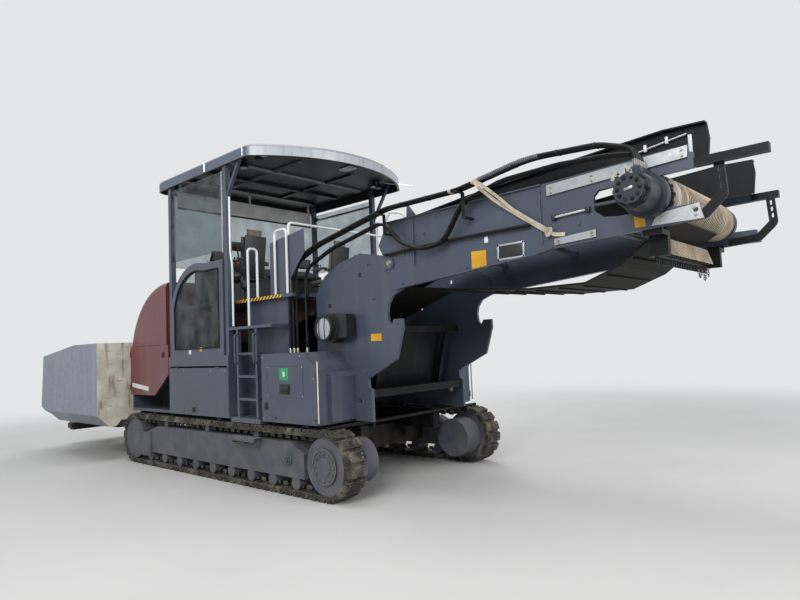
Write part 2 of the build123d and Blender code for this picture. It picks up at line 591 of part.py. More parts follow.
CYL_ANGLE = math.degrees(math.atan2(CYL_EYE_Z - CYL_FOOT_Z, CYL_EYE_Y - CYL_FOOT_Y))
CYL_LENGTH = math.hypot(CYL_EYE_Z - CYL_FOOT_Z, CYL_EYE_Y - CYL_FOOT_Y)
BARREL_LENGTH = 500.0
ROD_FIT = 0.5
EYE_FIT = 2.0         # round the pin, as the linkage is open there
EYE_SLOT = 22.0       # play that the open end of the linkage needs


def make_barrel():
    place = Pos(CYL_X, CYL_FOOT_Y, CYL_FOOT_Z) * Rot(CYL_ANGLE - 90, 0, 0)
    barrel = Pos(0, 0, 30 + BARREL_LENGTH / 2) * Cylinder(BARREL_RADIUS, BARREL_LENGTH)
    barrel -= Pos(0, 0, 130 + BARREL_LENGTH / 2) * Cylinder(ROD_RADIUS + ROD_FIT, BARREL_LENGTH)
    barrel += Rot(0, 90, 0) * Cylinder(EYE_RADIUS, 60)
    barrel -= Rot(0, 90, 0) * Cylinder(PIN_RADIUS + 1, 62)
    return place * barrel


def make_rod():
    place = Pos(CYL_X, CYL_FOOT_Y, CYL_FOOT_Z) * Rot(CYL_ANGLE - 90, 0, 0)
    start = 150.0
    rod = Pos(0, 0, (start + CYL_LENGTH - 20) / 2) * Cylinder(ROD_RADIUS, CYL_LENGTH - 20 - start)
    for z in (CYL_LENGTH, CYL_LENGTH + EYE_SLOT):
        rod += Pos(0, 0, z) * Rot(0, 90, 0) * Cylinder(EYE_RADIUS, 60)
    for z in (CYL_LENGTH, CYL_LENGTH + EYE_SLOT):
        rod -= Pos(0, 0, z) * Rot(0, 90, 0) * Cylinder(PIN_RADIUS + EYE_FIT, 62)
    rod -= Pos(0, 0, CYL_LENGTH + EYE_SLOT / 2) * Box(62, 2 * (PIN_RADIUS + EYE_FIT), EYE_SLOT)
    return place * rod


for side_name, side in SIDES:
    save("hopper_wing_" + side_name, on_side(make_wing(), side))
    save("cylinder_barrel_" + side_name, on_side(make_barrel(), side))
    save("cylinder_rod_" + side_name, on_side(make_rod(), side))

front_flap = slab(FLAP_X, FLAP_X + FLAP_THICKNESS, -FLAP_HALF_WIDTH, FLAP_HALF_WIDTH, FLAP_HINGE_Z,
                  FLAP_HINGE_Z + FLAP_HEIGHT)
front_flap += rod_y(FLAP_X + FLAP_THICKNESS / 2, FLAP_HINGE_Z, 26, -FLAP_HALF_WIDTH, FLAP_HALF_WIDTH)
save("front_flap", front_flap)

PUSH_BEAM_X = ROLLER_X - PUSH_ROLLER_RADIUS - 90
push_beam = slab(PUSH_BEAM_X - 60, PUSH_BEAM_X + 60, -1340, 1340, ROLLER_Z - 80, ROLLER_Z + 60)
for y in (-PUSH_ARM_OUT_Y, 0.0, PUSH_ARM_OUT_Y):
    push_beam += slab(PUSH_BEAM_X, ROLLER_X, y - PUSH_ARM_HALF, y + PUSH_ARM_HALF,
                      ROLLER_Z - 50, ROLLER_Z + 50)
for y in (-PUSH_ARM_Y, PUSH_ARM_Y):
    push_beam += slab(FLAP_X - 400, PUSH_BEAM_X, y - 60, y + 60, ROLLER_Z - 80,
                      FLOOR_BEAM_Z - SEAT)
save("push_beam", push_beam)
for side_name, side in SIDES:
    y0 = PUSH_ROLLER_IN_Y
    roller = rod_y(ROLLER_X, ROLLER_Z, PUSH_ROLLER_RADIUS, y0, y0 + PUSH_ROLLER_LENGTH)
    roller += rod_y(ROLLER_X, ROLLER_Z, PUSH_AXLE_RADIUS, PUSH_ARM_HALF + SEAT,
                    PUSH_ARM_OUT_Y - PUSH_ARM_HALF - SEAT)
    save("push_roller_" + side_name, on_side(roller, side))


# Belt: one closed loop from the hopper to the discharge drum, its return run sagging under the conveyor
def tangent(centre_x, centre_z, radius, point, turn):
    reach = math.hypot(point[0] - centre_x, point[1] - centre_z)
    angle = math.atan2(point[1] - centre_z, point[0] - centre_x) + turn * math.acos(radius / reach)
    return centre_x + radius * math.cos(angle), centre_z + radius * math.sin(angle)


def belt_line(radius_add):
    drum = DRUM_RADIUS + radius_add
    tail = TAIL_RADIUS + radius_add
    top = [(BEND_X, BEND_Z + radius_add), (FOOT_RISE_X, TAIL_Z + TAIL_RADIUS + 20 + radius_add)]
    low = [(FOOT_RISE_X, TAIL_Z - TAIL_RADIUS + 20 - radius_add), (BEND_X + 200, BEND_Z - 330 - radius_add),
           (-3300, 2330 - radius_add), (-4100, 2262 - radius_add), (-4700, 2262 - radius_add),
           (-5050, 2390 - radius_add), (-5280, 2560 - radius_add)]
    top = [tangent(DRUM_X, DRUM_Z, drum, top[0], 1)] + top + [tangent(TAIL_X, TAIL_Z, tail, top[-1], -1)]
    low = [tangent(TAIL_X, TAIL_Z, tail, low[0], 1)] + low + [tangent(DRUM_X, DRUM_Z, drum, low[-1], -1)]
    return top, low


def make_belt():
    y0 = -BELT_HALF_WIDTH

    def face(shift):
        top, low = belt_line(shift)
        points_top = [(x, y0, z) for x, z in top]
        points_low = [(x, y0, z) for x, z in low]
        tail = ThreePointArc(points_top[-1], (TAIL_X + TAIL_RADIUS + shift, y0, TAIL_Z), points_low[0])
        head = ThreePointArc(points_low[-1], (DRUM_X - DRUM_RADIUS - shift, y0, DRUM_Z), points_top[0])
        outline = Polyline(*points_top) + tail + Polyline(*points_low) + head
        return extrude(make_face(outline), amount=2 * BELT_HALF_WIDTH, dir=(0, 1, 0))

    return face(BELT_THICKNESS + SEAT) - face(SEAT)


save("belt", make_belt())
drum = rod_y(DRUM_X, DRUM_Z, DRUM_RADIUS, -DRUM_HALF_WIDTH, DRUM_HALF_WIDTH)
lagging_in_y = BELT_HALF_WIDTH + LAGGING_GAP
lagging = rod_y(DRUM_X, DRUM_Z, LAGGING_RADIUS, lagging_in_y, LAGGING_OUT_Y)
rib_pitch = (LAGGING_OUT_Y - lagging_in_y - 2 * LAGGING_RIB_HALF) / (LAGGING_RIBS - 1)
for i in range(LAGGING_RIBS):
    y = lagging_in_y + LAGGING_RIB_HALF + i * rib_pitch
    lagging += rod_y(DRUM_X, DRUM_Z, LAGGING_RADIUS + LAGGING_RIB_HEIGHT, y - LAGGING_RIB_HALF,
                     y + LAGGING_RIB_HALF)
save("drive_drum", drum + lagging + on_side(lagging, -1))
tail_reach = BELT_HALF_WIDTH + 20 - SEAT
save("tail_drum", rod_y(TAIL_X, TAIL_Z, TAIL_RADIUS, -BELT_HALF_WIDTH, BELT_HALF_WIDTH)
     + rod_y(TAIL_X, TAIL_Z, 45, -tail_reach, tail_reach))


# Discharge conveyor frame: two side plates with a top flange and cross tubes
def make_conveyor_plate():
    outline = [(-2595, 2365), (-2430, 2742), (-2350, 2907), (-2500, 3160), (-3480, 3172), (-4500, 3185),
               (-5700, FORK_TOP_Z), (FORK_REAR_X, FORK_TOP_Z - 70), (FORK_REAR_X, 3040), (-5050, 3020),
               (-5000, 2970), (-5000, 2840), (-5080, 2775), (-5200, 2760), (FORK_REAR_X - 20, 2755),
               (FORK_REAR_X - 30, 2630), (-5475, 2607), (-5020, 2592), (-4590, 2566), (-4420, 2531), (-2660, 2377)]
    plate = plate_xz(outline, CONVEYOR_IN_Y, CONVEYOR_OUT_Y)
    plate += rod_y(DRUM_X, DRUM_Z, SHAFT_RADIUS + 62, CONVEYOR_IN_Y, CONVEYOR_OUT_Y)
    plate -= rod_y(DRUM_X, DRUM_Z, SHAFT_RADIUS + SEAT, CONVEYOR_IN_Y - 1, CONVEYOR_OUT_Y + 1)
    lip_y = CONVEYOR_OUT_Y + LIP_WIDTH
    plate += plate_xz([(-2500, 3148), (-2500, 3160), (-3480, 3172), (-4500, 3185), (-4500, 3173), (-3480, 3160)],
                      CONVEYOR_OUT_Y, lip_y)
    plate += plate_xz([(-2660, 2377), (-2660, 2389), (-4420, 2543), (-4590, 2578), (-4590, 2566), (-4420, 2531)],
                      CONVEYOR_OUT_Y, lip_y)
    for x in RIBS_X:
        plate += slab(x - 8, x + 8, CONVEYOR_OUT_Y, CONVEYOR_OUT_Y + 16, 2620, 3140)
    plate += rod_y(PIVOT_X, PIVOT_Z, 62, CONVEYOR_OUT_Y, CONVEYOR_OUT_Y + 22)
    return plate + rod_x(CONVEYOR_OUT_Y - 20, DRUM_Z + 20, 15, DRUM_X + SHAFT_RADIUS + 30, -4990)


def make_conveyor_frame():
    plate = make_conveyor_plate()
    frame = plate + on_side(plate, -1)
    for x, z in ((-2900, 3050), (-3900, 3075), (-4800, 3095)):
        frame += rod_y(x, z - 300, 38, -CONVEYOR_IN_Y, CONVEYOR_IN_Y)
    return frame


save("conveyor_frame", make_conveyor_frame())

skirt_top = [(-2500, 3165), (-3560, 3290), (-5000, 3405), (-5580, 3445), (-5910, 3435)]
skirt = plate_xz([(-2500, 2900)] + skirt_top + [(-5925, 3300), (-5900, 3095), (-5600, 3085), (-5400, 3080)],
                 SKIRT_Y, SKIRT_Y + SKIRT_THICKNESS)
flange = skirt_top + [(x, z - SKIRT_FLANGE_THICKNESS) for x, z in reversed(skirt_top)]
skirt += plate_xz(flange, SKIRT_Y + SKIRT_THICKNESS - 2, SKIRT_Y + SKIRT_FLANGE_WIDTH)
for x in (-2800, -3700, -4900):
    skirt += slab(x - 30, x + 30, SKIRT_Y + SKIRT_THICKNESS - 2, CONVEYOR_IN_Y - SEAT, 3090, 3160)
save("belt_skirts", *both_sides(skirt))

strip_top = plate_xz([(-4560, 3060), (-4560, 3160), (-5805, 3225), (-5800, 3130)], CONVEYOR_OUT_Y + SEAT,
                     CONVEYOR_OUT_Y + 20)
strip_low = plate_xz([(-4610, 2590), (-4610, 2650), (-5010, 2676), (-5010, 2610)], CONVEYOR_OUT_Y + SEAT,
                     CONVEYOR_OUT_Y + 20)
strip_end = plate_xz([(-5490, 2625), (-5540, 2716), (-5862, 2751), (-5888, 2626)], CONVEYOR_OUT_Y + SEAT,
                     CONVEYOR_OUT_Y + 26)
save("guide_strips", *both_sides(strip_top, strip_low, strip_end))

# The drum's motor sits on the left only; the right end has a bearing cap
hub = rod_y(DRUM_X, DRUM_Z, SHAFT_RADIUS, LAGGING_OUT_Y + SEAT, CONVEYOR_OUT_Y + 32)
hub += rod_y(DRUM_X, DRUM_Z, HUB_RING_RADIUS, CONVEYOR_OUT_Y + 32, HUB_RING_OUT_Y)
motor = hub + rod_y(DRUM_X, DRUM_Z, MOTOR_RADIUS, HUB_RING_OUT_Y, MOTOR_STEP_Y)
motor += rod_y(DRUM_X, DRUM_Z, MOTOR_CAP_RADIUS, MOTOR_STEP_Y, MOTOR_OUT_Y)
for turn in range(8):
    motor += rod_y(DRUM_X + 122 * math.cos(turn * math.pi / 4), DRUM_Z + 122 * math.sin(turn * math.pi / 4), 20,
                   MOTOR_STEP_Y - 30, MOTOR_STEP_Y + 34)
motor += slab(DRUM_X - 45, DRUM_X + 75, HUB_RING_OUT_Y - 65, MOTOR_STEP_Y - 85, DRUM_Z + 60, DRUM_Z + PORT_HEIGHT)
save("drum_motor", motor)
save("drum_bearing", on_side(hub + rod_y(DRUM_X, DRUM_Z, 120, HUB_RING_OUT_Y, HUB_RING_OUT_Y + 30), -1))


# Bent end arms with their square tubes; the left tube is pulled out to the rear
def make_end_arm(tube_rear_x):
    path = FilletPolyline((-5600, ARM_Y, 2650), (-5880, ARM_Y, 2668), (-6020, ARM_Y, 2800),
                          (-6005, ARM_Y, 3080), radius=50)
    start = Plane(path @ 0, x_dir=(0, 1, 0), z_dir=path % 0)
    strap = sweep(start * Rectangle(ARM_THICKNESS, ARM_WIDTH), path=path)
    for z in ARM_SLOTS_Z:
        x = -6020 + (z - 2800) * 15 / 280
        slot = slab(x - ARM_SLOT_RADIUS, x + ARM_SLOT_RADIUS, ARM_Y - ARM_THICKNESS, ARM_Y + ARM_THICKNESS,
                    z - ARM_SLOT_HALF, z + ARM_SLOT_HALF)
        for end_z in (z - ARM_SLOT_HALF, z + ARM_SLOT_HALF):
            slot += rod_y(x, end_z, ARM_SLOT_RADIUS, ARM_Y - ARM_THICKNESS, ARM_Y + ARM_THICKNESS)
        strap -= slot
    return strap + slab(tube_rear_x, FORK_REAR_X - SEAT, ARM_Y - 10, ARM_Y + 60, 3045, 3115)


save("end_arms", make_end_arm(ARM_TUBE_LEFT_X), on_side(make_end_arm(ARM_TUBE_RIGHT_X), -1))

scraper = plate_xz([(-5400, 2585), (-5420, 2585), (-5465, 2420), (-5445, 2420)],
                   -SCRAPER_HALF_WIDTH, SCRAPER_HALF_WIDTH)
for i in range(SCRAPER_RIBS):
    y = -SCRAPER_HALF_WIDTH + (i + 0.5) * 2 * SCRAPER_HALF_WIDTH / SCRAPER_RIBS
    scraper += plate_xz([(-5412, 2580), (-5432, 2580), (-5474, 2426), (-5454, 2426)], y - 9, y + 9)
scraper += slab(-5440, -5390, -SCRAPER_HALF_WIDTH - 60, SCRAPER_HALF_WIDTH + 60, 2395, 2430)
for i in range(COMB_TEETH):
    y = -SCRAPER_HALF_WIDTH + (i + 0.5) * 2 * SCRAPER_HALF_WIDTH / COMB_TEETH
    scraper += slab(-5420, -5404, y - 7, y + 7, 2340, 2396)
for _, side in SIDES:
    scraper += on_side(slab(-5550, -5390, SCRAPER_HALF_WIDTH, SCRAPER_HALF_WIDTH + 60, 2395, 2600), side)
    scraper += on_side(slab(-5550, -5390, SCRAPER_HALF_WIDTH + 40, CONVEYOR_IN_Y - SEAT, 2560, 2600), side)
    scraper += on_side(slab(-5550, -5390, CONVEYOR_IN_Y - 22, CONVEYOR_IN_Y - SEAT, 2560, 2632), side)
save("scraper", scraper)


# Platform, step and toe boards
platform = slab(FLOOR_REAR_X, FLOOR_FRONT_X, -FLOOR_HALF_WIDTH, FLOOR_HALF_WIDTH, FLOOR_TOP_Z - FLOOR_THICKNESS,
                FLOOR_TOP_Z)
for _, side in SIDES:
    well = slab(FLOOR_REAR_X - 1, HOSE_WELL_X, HOSE_LOWER_Y - 40, SHIELD_Y - 1,
                FLOOR_TOP_Z - 60, FLOOR_TOP_Z + 1)
    platform -= on_side(well, side)
platform += slab(PANEL_REAR_X, PANEL_FRONT_X, -PANEL_IN_Y + SEAT, PANEL_IN_Y - SEAT, FLOOR_TOP_Z - FLOOR_THICKNESS,
                 FLOOR_TOP_Z)
for side_name, side in SIDES:
    riser = slab(BOX_FRONT_X - 200, LADDER_FRONT_X, 1150, 1180, STEP_TOP_Z, FLOOR_TOP_Z - FLOOR_THICKNESS)
    tread = slab(BOX_FRONT_X - 200, REAR_POST_X - 10, 1150, 1480, STEP_TOP_Z - 35, STEP_TOP_Z)
    leg = slab(BOX_FRONT_X - 200, REAR_POST_X - 10, 1150, 1180, BODY_TOP_Z + SEAT, STEP_TOP_Z - 35)
    platform += on_side(riser, side) + on_side(tread, side) + on_side(leg, side)
save("platform", platform)


def make_ladder():
    x0, x1 = BOX_FRONT_X + 60, LADDER_FRONT_X - 30
    y = HALF_WIDTH - 60
    ladder = slab(x0, x1, y - 190, y + 50, LADDER_FOOT_Z, LADDER_FOOT_Z + 60)
    for x in (LADDER_STILE_REAR_X, LADDER_STILE_FRONT_X):
        ladder += slab(x - 20, x + 20, y - 25, y + 25, LADDER_FOOT_Z, STEP_TOP_Z - 35 - SEAT)
        ladder += tube([(x, y + 20, 1585), (x, y + 62, 1600), (x, y + 62, 1960), (x, y + 20, 1975)],
                       GRAB_RADIUS, 12)
    z = LADDER_FOOT_Z + RUNG_SPACING
    while z < STEP_TOP_Z - 150:
        ladder += slab(LADDER_STILE_REAR_X, LADDER_STILE_FRONT_X, y - 100, y + 20, z - 15, z + 15)
        z += RUNG_SPACING
    return ladder


save("ladders", *both_sides(make_ladder()))


# Side panels with an arched window, and the glazing
def panel_outline(inset, y0, y1):
    x0 = PANEL_REAR_X + inset
    x1 = PANEL_FRONT_X - inset
    z0 = BODY_TOP_Z + SEAT + inset
    z1 = PANEL_TOP_Z - inset
    start = (x1, y0, z0 + (z1 - z0) * 0.55)
    end = (x0 + (x1 - x0) * 0.35, y0, z1)
    middle = (x0 + (x1 - x0) * 0.83, y0, z0 + (z1 - z0) * 0.88)
    outline = Polyline((x0, y0, z1), (x0, y0, z0), (x1, y0, z0), start) + ThreePointArc(start, middle, end)
    outline += Line(end, (x0, y0, z1))
    return extrude(make_face(outline), amount=y1 - y0, dir=(0, 1, 0))


panel = panel_outline(0, PANEL_IN_Y, HALF_WIDTH) - panel_outline(WINDOW_MARGIN, PANEL_IN_Y - 1, HALF_WIDTH + 1)
save("station_panels", *both_sides(panel))
pane = panel_outline(WINDOW_MARGIN + SEAT, HALF_WIDTH - 30, HALF_WIDTH - 30 + GLASS_THICKNESS)
upper = slab(REAR_POST_X + POST_SIZE + SEAT, FRONT_POST_X - SEAT, HALF_WIDTH - 50, HALF_WIDTH - 50 + GLASS_THICKNESS,
             PANEL_TOP_Z + 130, ROOF_EDGE_Z - 60)
windscreen = slab(FRONT_POST_X + POST_SIZE + SEAT, FRONT_POST_X + POST_SIZE + SEAT + GLASS_THICKNESS,
                  -HALF_WIDTH + 60, HALF_WIDTH - 60, PANEL_TOP_Z + 60, ROOF_EDGE_Z - 40)
save("station_glass", *both_sides(pane, upper), windscreen)

POST_OUT_Y = HALF_WIDTH - 21
POST_TOP_Z = ROOF_EDGE_Z + ROOF_HEIGHT - ROOF_SKIN - SEAT
posts = [slab(x, x + POST_SIZE, POST_OUT_Y - POST_SIZE, POST_OUT_Y, BODY_TOP_Z + SEAT, POST_TOP_Z)
         for x in (FRONT_POST_X, REAR_POST_X)]
brace = plate_xz([(REAR_POST_X + 2, BRACE_FOOT_Z), (REAR_POST_X + 2, BRACE_FOOT_Z + 60),
                  (REAR_POST_X - BRACE_REACH + 50, POST_TOP_Z), (REAR_POST_X - BRACE_REACH, POST_TOP_Z)],
                 POST_OUT_Y - POST_SIZE + 15, POST_OUT_Y - 15)
posts[1] += brace
save("canopy_posts", *both_sides(*posts))


def roof_block(inset, z0, z1):
    half = ROOF_HALF_WIDTH - inset
    rear = ROOF_REAR_X + inset
    side_x = ROOF_SIDE_REAR_X + inset
    front = ROOF_FRONT_X - inset
    outline = Polyline((side_x, half, z0), (front, half, z0), (front, -half, z0), (side_x, -half, z0))
    outline += ThreePointArc((side_x, -half, z0), (rear, 0, z0), (side_x, half, z0))
    face = make_face(outline)
    return extrude(fillet(face.vertices(), ROOF_CORNER - inset), amount=z1 - z0, dir=(0, 0, 1))


def make_roof():
    roof = roof_block(0, ROOF_EDGE_Z, ROOF_EDGE_Z + ROOF_HEIGHT)
    roof = chamfer(roof.faces().sort_by(Axis.Z)[-1].edges(), 38)
    roof -= roof_block(ROOF_SKIN, ROOF_EDGE_Z - 1, ROOF_EDGE_Z + ROOF_HEIGHT - ROOF_SKIN)
    top = ROOF_EDGE_Z + ROOF_HEIGHT - ROOF_SKIN
    for x in ROOF_RIBS_X:
        roof += slab(x - 45, x + 45, -ROOF_RIB_HALF, ROOF_RIB_HALF, top - 42, top + 2)
    for y in (-520, 520):
        roof += slab(-420, ROOF_RIBS_X[-1], y - 40, y + 40, top - 30, top + 2)
    return roof


save("canopy_roof", make_roof())


# Seats, console and shields
SEAT_REST_OFFSET = 270.0   # an arm rest from the middle of its seat
SEAT_REST_REACH = 0.25     # of that, its bracket reaches back to the seat


def make_seat(y):
    x = 560.0
    top = FLOOR_TOP_Z
    base = slab(x - 130, x + 130, y - 110, y + 110, top + SEAT, top + 60)
    base += Pos(x, y, top + 190) * Cylinder(70, 280)
    pan = plate_xz([(x - 230, top + 330), (x + 230, top + 330), (x + 270, top + 370), (x + 240, top + 450),
                    (x - 190, top + 430)], y - 240, y + 240)
    back = plate_xz([(x - 230, top + 340), (x - 120, top + 420), (x - 190, top + 860), (x - 230, top + 1080),
                     (x - 300, top + 1080), (x - 320, top + 800)], y - 225, y + 225)
    rests = []
    for rest_y in (y - SEAT_REST_OFFSET, y + SEAT_REST_OFFSET):
        inner, outer = sorted((rest_y, rest_y + (y - rest_y) * SEAT_REST_REACH))
        rests.append(slab(x - 190, x + 190, rest_y - 32, rest_y + 32, top + 590, top + 640)
                     + slab(x - 215, x - 165, inner, outer, top + 560, top + 600))
    return base + pan + back + rests


save("seats", make_seat(850), make_seat(-850))
console = slab(1250, 1500, -1150, 1150, FLOOR_TOP_Z + SEAT, FLOOR_TOP_Z + 520)
console += plate_xz([(1150, FLOOR_TOP_Z + 560), (1500, FLOOR_TOP_Z + 700), (1500, FLOOR_TOP_Z + 520),
                     (1150, FLOOR_TOP_Z + 520)], -1150, 1150)
save("console", console)

shield = plate_xz([(-620, 2460.3), (-620, 3160), (-1330, 3250), (-1330, 2950), (-1180, 2800), (-1000, 2600),
                   (-960, 2460.3)], SHIELD_Y, SHIELD_Y + 12)
save("hose_shield", shield)


# Handrails
def make_rails():
    y = GUARD_HALF_WIDTH
    guard = tube([(GUARD_X, y, FLOOR_TOP_Z + SEAT), (GUARD_X, y, GUARD_TOP_Z), (GUARD_X, -y, GUARD_TOP_Z),
                  (GUARD_X, -y, FLOOR_TOP_Z + SEAT)], RAIL_TUBE_RADIUS, 60)
    tread_y = 1400.0
    grab = tube([(-330, tread_y, STEP_TOP_Z + SEAT), (-330, tread_y, 3120), (-330, FLOOR_HALF_WIDTH - 35, 3120),
                 (-330, FLOOR_HALF_WIDTH - 35, FLOOR_TOP_Z + SEAT)], RAIL_TUBE_RADIUS, 50)
    hoop_y = FLOOR_HALF_WIDTH - RAIL_TUBE_RADIUS - 2
    hoop = tube([(-1010, hoop_y, FLOOR_TOP_Z + SEAT), (-1010, hoop_y, 3300), (-760, hoop_y, 3300),
                 (-760, hoop_y, FLOOR_TOP_Z + SEAT)], RAIL_TUBE_RADIUS, 70)
    return [guard] + both_sides(grab, hoop)


save("handrails", *make_rails())


# Hydraulic hoses on the left: from the side box over saddles on the conveyor to the drum's motor
FOOT_X = -1010.0
SADDLE_FOOT_Z = 2985.0
# x and z of the hose on each saddle, and how far its slope sinks at the saddle's edge
SADDLES = ((-2600.0, 3235.0, 5.0), (-3700.0, 3264.9, 2.1))
# x, z and radius of each bend
UPPER_RISE_Z = 2830.0
UPPER_RUN = ((-1500, 3015, 1500), (-2700, 3255, 1200), (-3700, 3262, 1000), (-4500, 3390, 1500),
             (-5180, 3345, 600), (DRUM_X, 3240, 120))
LOWER_RISE_Z = 2760.0
LOWER_RUN = ((-1640, 2960, 1500), (-2540, 3150, 220), (-2790, 2880, 300), (-3070, 2750, 450),
             (-3400, 2790, 260), (-3660, 3160, 260), (-4150, 3285, 900), (-4750, 3300, 1000),
             (-5200, 3268, 600), (DRUM_X, 3215, 100))


def make_hose(x, y, rise, run):
    end_z = DRUM_Z + PORT_HEIGHT + SEAT
    points = [(x, y, BODY_TOP_Z + SEAT), (x, y, rise)]
    points += [(bend_x, y, bend_z) for bend_x, bend_z, _ in run]
    points.append((DRUM_X, y, end_z))
    return tube(points, HOSE_RADIUS, [HOSE_BEND] + [radius for _, _, radius in run])


def make_hoses():
    hoses = []
    for i in range(3):
        hoses.append(make_hose(FOOT_X + 24 * i, HOSE_UPPER_Y + HOSE_PITCH * i, UPPER_RISE_Z, UPPER_RUN))
    for i in range(2):
        hoses.append(make_hose(FOOT_X - 90 - 40 * i, HOSE_LOWER_Y + HOSE_PITCH * i, LOWER_RISE_Z, LOWER_RUN))
    return hoses


save("hoses", *make_hoses())


def make_saddle(x, z, sink):
    top = z - HOSE_RADIUS - SEAT - sink
    arm = slab(x - 22, x + 22, HOSE_UPPER_Y - 24, HOSE_UPPER_Y + 2 * HOSE_PITCH + 24, top - 10, top)
    stalk = slab(x - 22, x + 22, HOSE_UPPER_Y - 24, HOSE_UPPER_Y - 18, SADDLE_FOOT_Z, top)
    foot = slab(x - 22, x + 22, CONVEYOR_OUT_Y + SEAT, HOSE_UPPER_Y - 20, SADDLE_FOOT_Z, SADDLE_FOOT_Z + 16)
    return arm + stalk + foot


save("hose_saddles", *[make_saddle(x, z, sink) for x, z, sink in SADDLES])

pipe_y = CONVEYOR_OUT_Y + 44
pipe = tube([(-2480, pipe_y, 2775), (-3400, pipe_y, 2812), (-4380, pipe_y, 2815)], 17, 300)
clips = [slab(x - 14, x + 14, CONVEYOR_OUT_Y + SEAT, pipe_y, z - 9, z + 9) for x, z in PIPE_CLIPS]
save("side_pipe", pipe + clips)

# Work lights on the cheeks and under the roof
def make_work_light():
    y0 = CHEEK_OUT_Y + SEAT
    light = rod_y(-1560, 1980, 200, y0 + 60, y0 + 190) & slab(-1760, -1400, y0, y0 + 200, 1800, 2160)
    light += slab(-1900, -1640, y0 + 40, y0 + 180, 1860, 2140)
    light += rod_y(-1560, 1980, 150, y0 + 180, y0 + 225)
    light += slab(-1700, -1500, y0, y0 + 80, 1930, 2030)
    return light


def make_roof_lamp():
    top = ROOF_EDGE_Z + ROOF_HEIGHT - ROOF_SKIN - SEAT
    return Pos(-340, 1180, top - 75) * (Cylinder(58, 60) + Pos(0, 0, 52) * Cylinder(20, 46))


save("work_lights", *both_sides(make_work_light(), make_roof_lamp()))
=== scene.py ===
"""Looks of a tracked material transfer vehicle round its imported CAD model. Metres, +X forward, +Y left."""

import cmath
import math
from contextlib import contextmanager

import bmesh
import bpy
from mathutils import Matrix, Vector


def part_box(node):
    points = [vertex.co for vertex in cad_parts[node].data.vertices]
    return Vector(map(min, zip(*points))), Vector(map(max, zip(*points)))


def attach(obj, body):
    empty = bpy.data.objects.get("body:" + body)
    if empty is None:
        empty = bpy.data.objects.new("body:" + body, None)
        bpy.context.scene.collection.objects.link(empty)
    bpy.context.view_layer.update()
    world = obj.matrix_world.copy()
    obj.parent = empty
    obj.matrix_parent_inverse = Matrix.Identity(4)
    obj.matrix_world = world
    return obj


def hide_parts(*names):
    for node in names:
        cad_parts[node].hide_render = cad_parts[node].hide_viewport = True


bl_info = {
    "name": "Material transfer vehicle",
    "version": (1, 0, 0),
    "blender": (4, 5, 0),
    "location": "View3D > Sidebar > Feeder",
    "description": "Finishes, seats, fittings and a studio for the tracked feeder",
    "category": "Object",
}

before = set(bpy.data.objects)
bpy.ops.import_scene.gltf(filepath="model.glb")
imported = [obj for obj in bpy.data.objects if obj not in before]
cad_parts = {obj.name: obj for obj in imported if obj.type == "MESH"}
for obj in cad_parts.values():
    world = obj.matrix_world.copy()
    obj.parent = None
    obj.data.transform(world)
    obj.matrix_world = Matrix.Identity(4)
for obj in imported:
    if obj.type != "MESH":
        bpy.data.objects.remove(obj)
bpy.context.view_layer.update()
SIDES = (("left", 1), ("right", -1))

# Planes and heights that the fittings sit on, from the frame
SIDE_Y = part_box("side_body_left")[1].y
FLOOR_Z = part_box("platform")[1].z
CHEEK_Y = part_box("rear_cheek_left")[1].y
CONVEYOR_Y = CHEEK_Y + 0.0403
MOTOR_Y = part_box("drum_motor")[1].y
DRUM = Vector((-5.475, 0, 2.875))
TRACK_REAR_X, TRACK_FRONT_X, TRACK_MID_Z, TRACK_Y = -1.88, 2.92, 0.4, 1.35
SHOES, SHOE_BASE = 78, 0.36                 # shoes on a track, and their base's radius round a wheel
CRAWLER_Y = 1.5                             # the outer face of a crawler's frame and drive
PROUD = 0.0004                              # how far a fitting stands off the face behind it
LAG_R, LAG_Y, LUGS = 0.190, 0.880, 16       # the drum's lagging beside the belt, and lugs on its end rings
BELT_R, BELT_HALF, HOOP = 0.1945, 0.598, 0.046      # the belt on the drum, and its cover's hoops
# the radius of the dark strips of painted shade that lie in the cover's grooves
GROOVE_SHADE_R = BELT_R + 0.0048
COVER_TURN = (-58, 86, 6)                   # the cover on the drum, from, to and by, in degrees
SCRAPER_HALF, RIB_STEP = 0.735, 0.046
SKIRT_Y, PIPE_Y = 0.785, 0.993
HOSE_R = 0.017
LOWER_HOSE_Y = CONVEYOR_Y + 0.084
UPPER_HOSE_Y = LOWER_HOSE_Y + 0.088
ROOF_Y, CEILING = 1.5103, 4.4705
SEAT_X, SEAT_Y = 0.56, 0.85
WINDOW = (0.25, 1.49, 1.8103, 2.92)         # its opening in the side panel, as x0, x1, z0 and z1
HOOP_RUN = ((-2.46, 0.0), (-2.47, 0.08), (-2.53, 0.115), (-2.66, 0.09), (-2.74, 0.06), (-2.77, 0.0))
POST_TUBE = ((-0.008, 3.88), (-0.008, 3.12), (-0.022, 3.04), (-0.042, 2.96), (-0.05, 2.86), (-0.05, 2.09))
UP, DOWN, LEFT, RIGHT = (0, 0, 1), (0, 0, -1), (0, 1, 0), (0, -1, 0)

# The photograph's point of view
CAMERA_PLACE = (-7.238, 6.041, 1.739)
CAMERA_TURN = (-47.934, 4.247, -2.454)      # yaw, pitch and roll, in degrees
FLOOR_HALF, FADE = 160, (6.5, 17.0)         # the floor's half side, and where it fades into the backdrop
# name, place, what it looks at, side of the square lamp, watts
LAMPS = (
    ("key", (-7.0, 12.0, 9.0), (-1.0, 0, 1.5), 7.0, 1500),
    ("rear_fill", (-14.0, -2.0, 6.0), (-2.0, 0, 2.0), 6.0, 800),
    ("top", (1.0, 1.0, 13.0), (0, 0, 0), 9.0, 900),
    ("far_rim", (9.0, -11.0, 8.0), (1.0, 0, 1.5), 6.0, 900),
)


